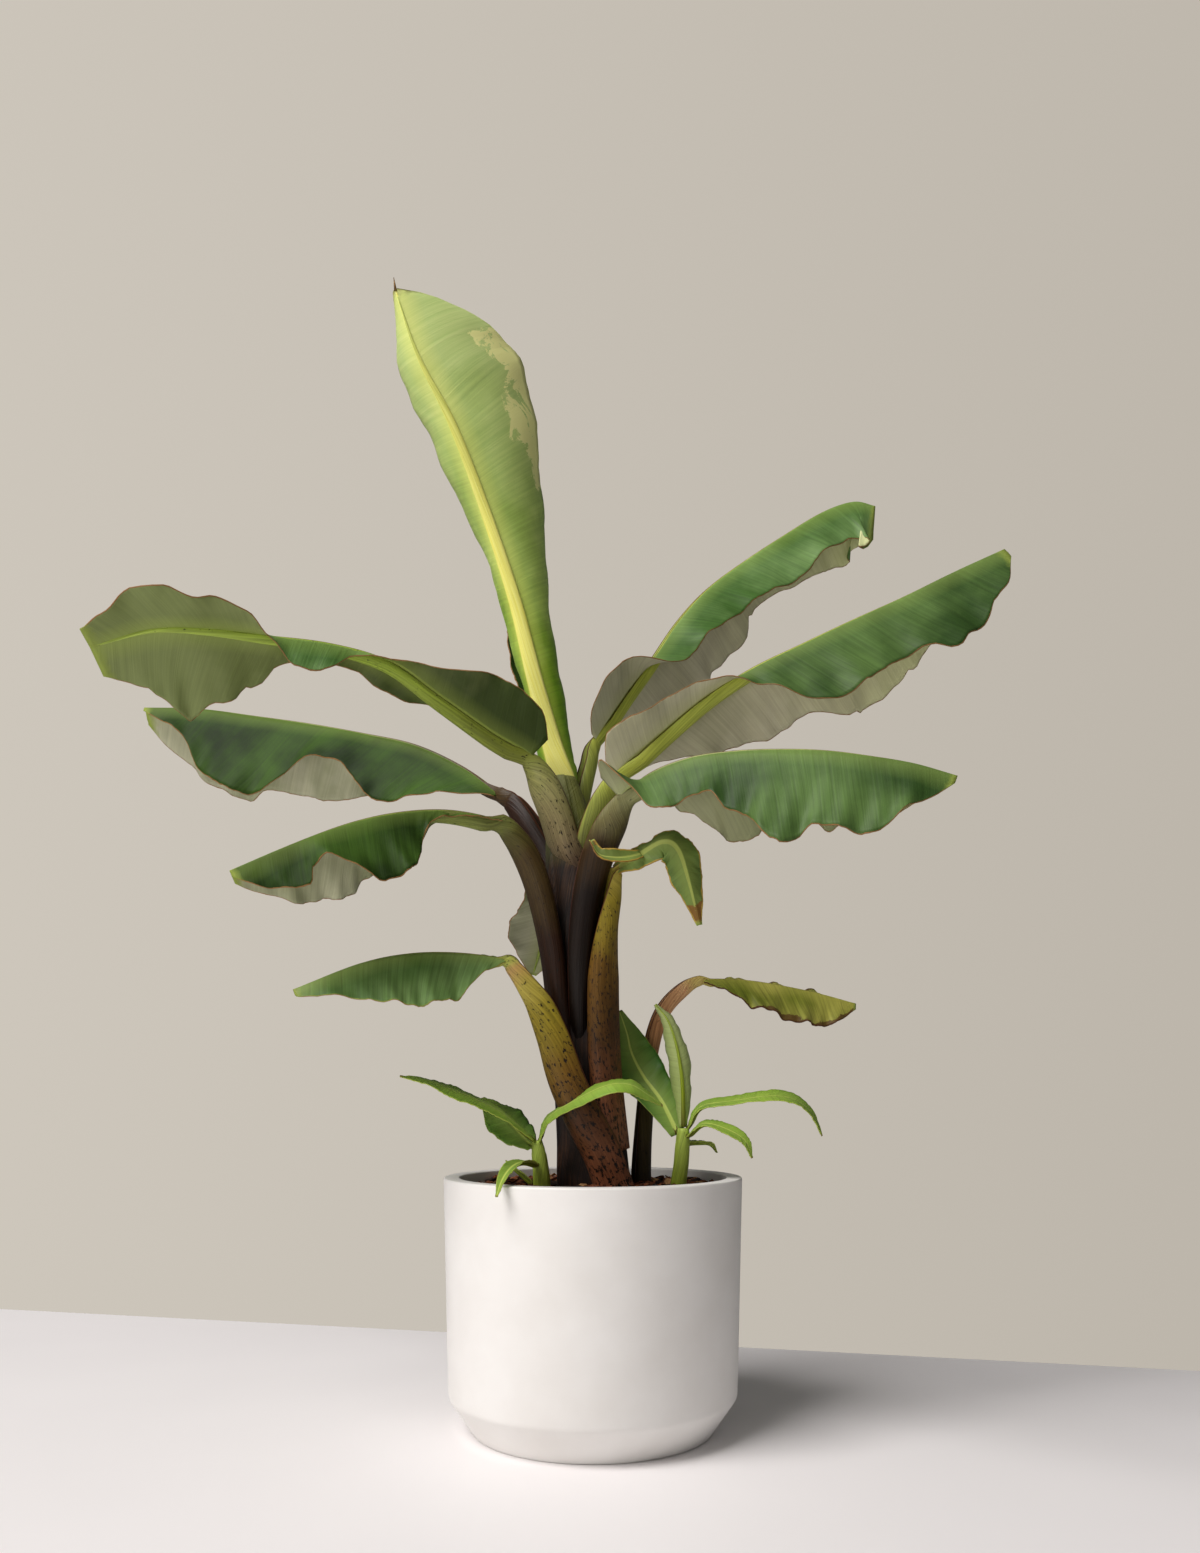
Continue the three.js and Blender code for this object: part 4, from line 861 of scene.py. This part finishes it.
LOOKS = {
    "spear": ("spear_top", "spear_back", "spear"),
    "back_upright": ("dark_top", "dark_back", "green"),
    "left_high": ("pale_top", "high_back", "olive"),
    "left_middle": ("dark_top", "dark_back", "dark"),
    "left_low": ("dark_top", "dark_back", "dark"),
    "left_lowest": ("low_top", "low_back", "speckled"),
    "right_high": ("pale_top", "pale_back", "green"),
    "right_upper": ("middle_top", "pale_back", "green"),
    "right_middle": ("middle_top", "middle_back", "black"),
    "withered": ("curly_top", "curly_back", "speckled"),
    "back_low": ("dark_top", "dark_back", "dark"),
    "right_low": ("yellow_top", "yellow_back", "golden"),
}

for leaf_name, (top, back, skin) in LOOKS.items():
    leaf = LEAVES[leaf_name]
    blade(f"blade_{leaf_name}_leaf", leaf, top, back, nodes=[f"blade_{leaf_name}"])
    if "stalk" in leaf:
        stalk(f"stalk_{leaf_name}_rib", leaf, skin, nodes=[f"stalk_{leaf_name}"])
    else:
        stalk(f"midrib_{leaf_name}", leaf, skin, slot="spear")


def spear_point():
    """The dry point that a new leaf carries at its tip."""
    clear_selection()
    bpy.ops.mesh.primitive_cone_add(vertices=10, radius1=1.5 * MM, radius2=0.3 * MM, depth=13 * MM)
    obj = take_new_object("dry_point_spear")
    bpy.ops.object.shade_smooth()
    obj.location = place([-198.5, -14, 903])
    obj.rotation_euler = (0, math.radians(-8), 0)
    put_at_origin()
    obj.data.materials.append(DRY_POINT)
    finish_piece(obj, "spear")


spear_point()
blade("blade_withered_curl_leaf", LEAVES["withered_curl"], "curly_top", "curly_back", along=30, half=6,
      nodes=["blade_withered_curl"])

# Leaves of the two young side shoots: route, fullest half width, where it is fullest, leans of the halves.
# The drawn leaf is fuller than the solid behind it.
SIDE_LEAF_FULLNESS = 1.45
SIDE_LEAVES = {
    "left_1": dict(route=[[-56, -54, 47], [-84, -62, 72], [-109, -68, 86], [-133, -72, 96],
                          [-157, -76, 105], [-182, -80, 109]], width=11, fullest=0.5, leans=(-30, 15)),
    "left_2": dict(route=[[-58, -46, 40], [-75, -36, 56], [-92, -26, 73],
                          [-111, -14, 88]], width=16, fullest=0.5,
                   leans=(-35, 20), faces=("shaded_top", "young_back")),
    "left_3": dict(route=[[-53, -51, 45], [-44, -59, 68], [-17, -72, 86], [13, -80, 100], [35, -78, 101],
                          [53, -70, 91], [67, -62, 81]], width=10, fullest=0.55, leans=(20, -40)),
    "left_4": dict(route=[[-54, -57, 24], [-65, -82, 28], [-74, -109, 25], [-81, -130, 15], [-85, -145, 1]],
                   width=6, fullest=0.4, leans=(20, 20)),
    "left_5": dict(route=[[-58, -50, 6], [-66, -50, 12], [-76, -52, 20],
                          [-84, -54, 28]], width=4, fullest=0.4,
                   leans=(20, 20)),
    "right_1": dict(route=[[90, -22, 59], [89, -22, 101], [84, -22, 136], [75, -22, 164], [62, -22, 181]],
                    width=20, fullest=0.4, leans=(10, 10), curl=130, roll=90,
                    faces=("young_top", "sheen_back")),
    "right_2": dict(route=[[85, -17, 52], [69, -8, 85], [52, 4, 109], [40, 14, 133], [35, 20, 154],
                           [27, 24, 178]], width=17, fullest=0.5, leans=(15, -10), roll=-60,
                    faces=("shaded_top", "shaded_top")),
    "right_3": dict(route=[[94, -24, 58], [106, -30, 79], [137, -36, 85], [175, -40, 90], [198, -42, 86],
                           [214, -42, 73], [224, -42, 51]], width=9, fullest=0.5, leans=(30, -20)),
    "right_4": dict(route=[[93, -28, 50], [109, -40, 63], [132, -48, 57], [148, -52, 46], [154, -54, 30]],
                    width=7, fullest=0.5, leans=(30, -20)),
    "right_5": dict(route=[[94, -16, 44], [106, 0, 43], [119, 8, 41], [127, 12, 32]], width=5, fullest=0.4,
                    leans=(20, 10)),
}


def side_leaf(name, leaf):
    """A leaf of a side shoot: a small blade of one simple outline, with its midrib."""
    wide, full = leaf["width"] * SIDE_LEAF_FULLNESS, leaf["fullest"]
    curl = leaf.get("curl", 0)

    def one_half(lean):
        return dict(width=[[0, wide * 0.3], [full * 0.5, wide * 0.8], [full, wide], [1, wide * 0.12]],
                    lean=[[0, lean], [1, lean]], curl=[[0, curl], [1, curl]])

    whole = dict(route=leaf["route"], roll=leaf.get("roll", 0), rib=[[0, 2.4, 2.2], [1, 0.5, 0.5]],
                 left=one_half(leaf["leans"][0]), right=one_half(leaf["leans"][1]),
                 wavy=(wide * 0.08, 3.0), slot="young")
    blade(f"side_leaf_{name}_leaf", whole, *leaf.get("faces", ("young_top", "young_back")), along=48, half=7,
          nodes=[f"side_leaf_{name}"])
    stalk(f"side_midrib_{name}", whole, "young", along=40, slot="young")


for leaf_name, leaf in SIDE_LEAVES.items():
    side_leaf(leaf_name, leaf)


# ---------------------------------------------------------------- stems

# stations of a stem: across, back, above the soil, radius, all in millimetres
PSEUDOSTEM = [
    [2, 0, -65, 30], [2, 0, -20, 36], [1, 0, 5, 37], [-1, 0, 45, 35], [-4, 0, 90, 34], [-9, 0, 150, 33],
    [-13, 0, 200, 32], [-16, 0, 250, 31], [-19, 0, 300, 29], [-22, 0, 340, 26], [-25, 0, 370, 22],
    [-28, 0, 395, 17], [-31, 0, 412, 13],
]
SIDE_STEMS = {
    "side_stem_left": [[-48, -50, -30, 7], [-49, -50, 0, 8.5], [-51, -50, 25, 7.5], [-54, -50, 47, 5.5]],
    "side_stem_right": [[84, -22, -35, 6.5], [85, -22, 0, 8], [88, -22, 25, 7.5], [90, -22, 58, 6]],
}


def stem(name, stations, material, slot, around, along, sheaths, step):
    """A stem of wrapped leaf sheaths: a tube whose skin steps down where one sheath ends on the next."""
    last = len(stations) - 1
    low, high = stations[0][2], stations[last][2]
    marks = [[(p[2] - low) / (high - low), *p] for p in stations]

    def put(i, j):
        s = i / along
        turn = 2 * math.pi * j / around
        centre = place([value_at(marks, s, 1), value_at(marks, s, 2), value_at(marks, s, 3)])
        radius = value_at(marks, s, 4) * MM
        twist = turn / (2 * math.pi) * sheaths + s * 1.1 + 0.12 * noise.noise(Vector((s * 4, 0, 3)))
        overlap = (twist % 1.0) * step * MM
        ribs = 0.35 * MM * noise.noise(Vector((math.cos(turn) * 9, math.sin(turn) * 9, s * 3)))
        reach = radius + overlap - step * MM * 0.6 + ribs
        point = centre + Vector((math.cos(turn) * reach, math.sin(turn) * reach, 0))
        return point, (turn * radius, (high - low) * s * MM), (0.0, 0.0), (s, j / around)

    obj = lay_grid(name, around, along, put)
    close_tube()
    obj.data.materials.append(material)
    return finish_piece(obj, slot, name.replace("_sheaths", ""))


stem("pseudostem_sheaths", PSEUDOSTEM, SHEATH, "stem", 180, 110, 5, 2.2)
for stem_name, stations in SIDE_STEMS.items():
    stem(f"{stem_name}_sheaths", stations, SKINS["young"], "young", 40, 24, 2, 0.8)


# ---------------------------------------------------------------- pot and soil

def pot():
    """Turned pot: a round foot pulled up the wall, over the rim and down the inside."""
    r = POT_RADIUS / MM
    h = POT_HEIGHT / MM
    profile = [
        # the rounded foot
        (r - 30.3, 0.0), (r - 29.2, 0.25), (r - 28.3, 0.9), (r - 27.6, 2.0),
        # the top of the chamfer, turning up into the wall
        (r - 6.6, 33.6), (r - 5.4, 35.6), (r - 4.7, 38.0), (r - 4.4, 41.0),
        # the rim, rounded outside and then inside
        (r, h - 2.2), (r - 0.25, h - 1.1), (r - 0.9, h - 0.3), (r - 2.2, h),
        (r - 13.8, h), (r - 15.1, h - 0.3), (r - 15.75, h - 1.1), (r - 16, h - 2.4),
        # down the inside to the floor
        (r - 20.2, 50), (r - 21.5, 44), (r - 40, 17), (r - 43, 16),
    ]
    clear_selection()
    bpy.ops.mesh.primitive_circle_add(vertices=192, radius=profile[0][0] * MM, fill_type="NGON",
                                      location=(0, 0, profile[0][1] * MM))
    obj = take_new_object("pot_glazed")
    put_at_origin()
    bpy.ops.object.mode_set(mode="EDIT")
    bpy.ops.mesh.select_all(action="SELECT")
    for (r0, z0), (r1, z1) in zip(profile, profile[1:]):
        bpy.ops.mesh.extrude_region_move(TRANSFORM_OT_translate={"value": (0, 0, (z1 - z0) * MM)})
        bpy.ops.transform.resize(value=(r1 / r0, r1 / r0, 1), center_override=(0, 0, z1 * MM))
    bpy.ops.mesh.select_all(action="SELECT")
    bpy.ops.mesh.normals_make_consistent(inside=False)
    bpy.ops.object.mode_set(mode="OBJECT")
    bpy.ops.object.shade_smooth_by_angle(angle=math.radians(28))
    obj.data.materials.append(GLAZE)
    return finish_piece(obj, "ceramic", "pot")


def soil():
    """Potting soil: a disc with a crumbly top, rising a little round the stem."""
    inner = POT_RADIUS - 16.7 * MM
    rings, around = 70, 160

    def put(i, j):
        turn = 2 * math.pi * j / around
        reach = inner * (i / rings) ** 0.8
        x, y = math.cos(turn) * reach, math.sin(turn) * reach
        small = 1.6 * noise.noise(Vector((x * 180, y * 180, 1)))
        large = 2.2 * noise.noise(Vector((x * 55, y * 55, 4)))
        heap = 3.0 * math.exp(-((reach / MM - 40) / 26) ** 2)
        z = SOIL_LEVEL + (small + large + heap - 2.0) * MM
        return Vector((x, y, z)), (x, y), (0, 0), (0, 0)

    obj = lay_grid("soil_surface", around, rings, put)
    bpy.ops.object.mode_set(mode="EDIT")
    bpy.ops.mesh.select_all(action="SELECT")
    bpy.ops.mesh.remove_doubles(threshold=1e-5)
    bpy.ops.mesh.normals_make_consistent(inside=False)
    bpy.ops.mesh.select_all(action="DESELECT")
    bpy.ops.mesh.select_non_manifold()
    bpy.ops.mesh.extrude_region_move(TRANSFORM_OT_translate={"value": (0, 0, -0.03)})
    bpy.ops.mesh.fill_holes(sides=0)
    bpy.ops.mesh.select_all(action="SELECT")
    bpy.ops.mesh.normals_make_consistent(inside=False)
    bpy.ops.object.mode_set(mode="OBJECT")
    bpy.ops.object.shade_smooth()
    obj.data.materials.append(PEAT)
    return finish_piece(obj, "soil", "potting_soil")


CHIPS = 620
STEM_ROOM = 0.045


def bark_chips():
    """Bark chips pressed into the soil: one broken chip, copied in many sizes and turned every way."""
    clear_selection()
    bpy.ops.mesh.primitive_cube_add(size=1, location=(0, 0, 0))
    first = take_new_object("bark_chip")
    bpy.ops.object.mode_set(mode="EDIT")
    bpy.ops.mesh.bevel(offset=0.16, segments=1, affect="EDGES")
    bpy.ops.object.mode_set(mode="OBJECT")
    for corner in first.data.vertices:
        shove = [noise.noise(corner.co * k) for k in (3, 4, 5)]
        corner.co += Vector(shove) * 0.3
    copies = []
    for k in range(CHIPS):
        reach = (POT_RADIUS - 22 * MM) * math.sqrt(random.random())
        turn = random.uniform(0, 2 * math.pi)
        if reach < STEM_ROOM:
            continue
        chip = first.copy()
        chip.data = first.data.copy()
        bpy.context.collection.objects.link(chip)
        size = random.uniform(2.5, 8.5) * MM
        chip.scale = (size * random.uniform(1, 2), size, size * random.uniform(0.25, 0.6))
        chip.rotation_euler = (random.uniform(-0.5, 0.5), random.uniform(-0.5, 0.5), random.uniform(0, 6.3))
        chip.location = (math.cos(turn) * reach, math.sin(turn) * reach,
                         SOIL_LEVEL + random.uniform(-1.5, 1.5) * MM)
        chip.data.materials.append(random.choice([BARK, BARK, PEAT, PALE_BARK] if k % 3 else [PEAT, BARK]))
        copies.append(chip)
    bpy.data.objects.remove(first)
    clear_selection()
    for chip in copies:
        chip.select_set(True)
    bpy.context.view_layer.objects.active = copies[0]
    bpy.ops.object.join()
    obj = take_new_object("bark_chips")
    put_at_origin()
    return finish_piece(obj, "soil")


pot()
soil()
bark_chips()


# ---------------------------------------------------------------- floor, light and camera

def painted_board():
    """Board with matt white paint: flat and even, with only a trace of mottle."""
    made, tree, shader = new_material("floor_board", 0.6, 1.45)
    here = add(tree, "ShaderNodeTexCoord")
    mottle = add(tree, "ShaderNodeTexNoise", {"Vector": here.outputs["Object"], "Scale": 3, "Detail": 2})
    tone = add(tree, "ShaderNodeValToRGB", {0: mottle.outputs[0]}, stops=[(0.3, "f3f0f0"), (0.7, "f6f3f3")])
    tree.links.new(tone.outputs[0], shader.inputs["Base Color"])
    return made


def lay_floor():
    """Pale floor that ends behind the pot; its far edge runs slightly nearer on the right."""
    clear_selection()
    bpy.ops.mesh.primitive_plane_add(size=1, location=(0, 0, 0))
    floor = take_new_object("floor")
    corners = [(-3.4, -3.0, 0), (3.4, -3.0, 0), (-3.4, 1.234, 0), (3.4, -0.41, 0)]
    for corner, spot in zip(floor.data.vertices, corners):
        corner.co = spot
    floor.data.materials.append(painted_board())


def studio_air():
    """A warm grey surround behind the plant, and dimmer air all round that fills the shadows."""
    world = bpy.data.worlds.new("studio_air")
    bpy.context.scene.world = world
    world.use_nodes = True
    tree = world.node_tree
    tree.nodes.clear()
    towards = add(tree, "ShaderNodeTexCoord")
    across = add(tree, "ShaderNodeSeparateXYZ", {0: towards.outputs["Generated"]})
    wall = add(tree, "ShaderNodeValToRGB", {0: across.outputs[0]}, stops=[(0.0, "cdc6bb"), (1.0, "bdb6ab")])
    shift = add(tree, "ShaderNodeMapRange", {0: across.outputs[0], 1: -0.45, 2: 0.45})
    tree.links.new(shift.outputs[0], wall.inputs[0])
    sight = add(tree, "ShaderNodeLightPath")
    shown = add(tree, "ShaderNodeBackground", {0: wall.outputs[0], 1: 1.0})
    fill = add(tree, "ShaderNodeBackground", {0: colour("fffdfa"), 1: 0.12})
    both = add(tree, "ShaderNodeMixShader", {0: sight.outputs["Is Camera Ray"], 1: fill.outputs[0],
                                             2: shown.outputs[0]})
    add(tree, "ShaderNodeOutputWorld", {0: both.outputs[0]})
    view = bpy.context.scene.view_settings
    view.view_transform = "Standard"
    view.look = "None"


def studio_lamps():
    """A large soft window on the left, in front and above, and a weak card low in front, turned upwards."""
    # name, place, size, power, tint and the place that it faces
    soft_lights = [
        ("window", (-2.6, -2.0, 4.6), 3.0, 315, "fffbf9", (0, 0, 0.5)),
        ("low_card", (-0.9, -1.5, 0.12), 1.0, 8, "fffdf8", (-0.5, -0.9, 1.2)),
    ]
    for name, spot, size, power, tint, target in soft_lights:
        lamp = bpy.data.lights.new(name, "AREA")
        lamp.size = size
        lamp.energy = power
        lamp.color = colour(tint)[:3]
        holder = bpy.data.objects.new(name, lamp)
        bpy.context.collection.objects.link(holder)
        holder.location = spot
        aim = Vector(target) - Vector(spot)
        holder.rotation_euler = aim.to_track_quat("-Z", "Y").to_euler()


def camera():
    """Level camera at 0.34 m, 1.18 m in front, with a rise of the lens to take in the whole plant."""
    lens = bpy.data.cameras.new("view")
    lens.lens = 27
    lens.sensor_width = 36
    lens.shift_y = 0.2025
    holder = bpy.data.objects.new("view", lens)
    bpy.context.collection.objects.link(holder)
    holder.location = (0.0071, -1.18, 0.34)
    holder.rotation_euler = (math.radians(90), 0, 0)
    bpy.context.scene.camera = holder


lay_floor()
studio_air()
studio_lamps()
camera()
clear_selection()
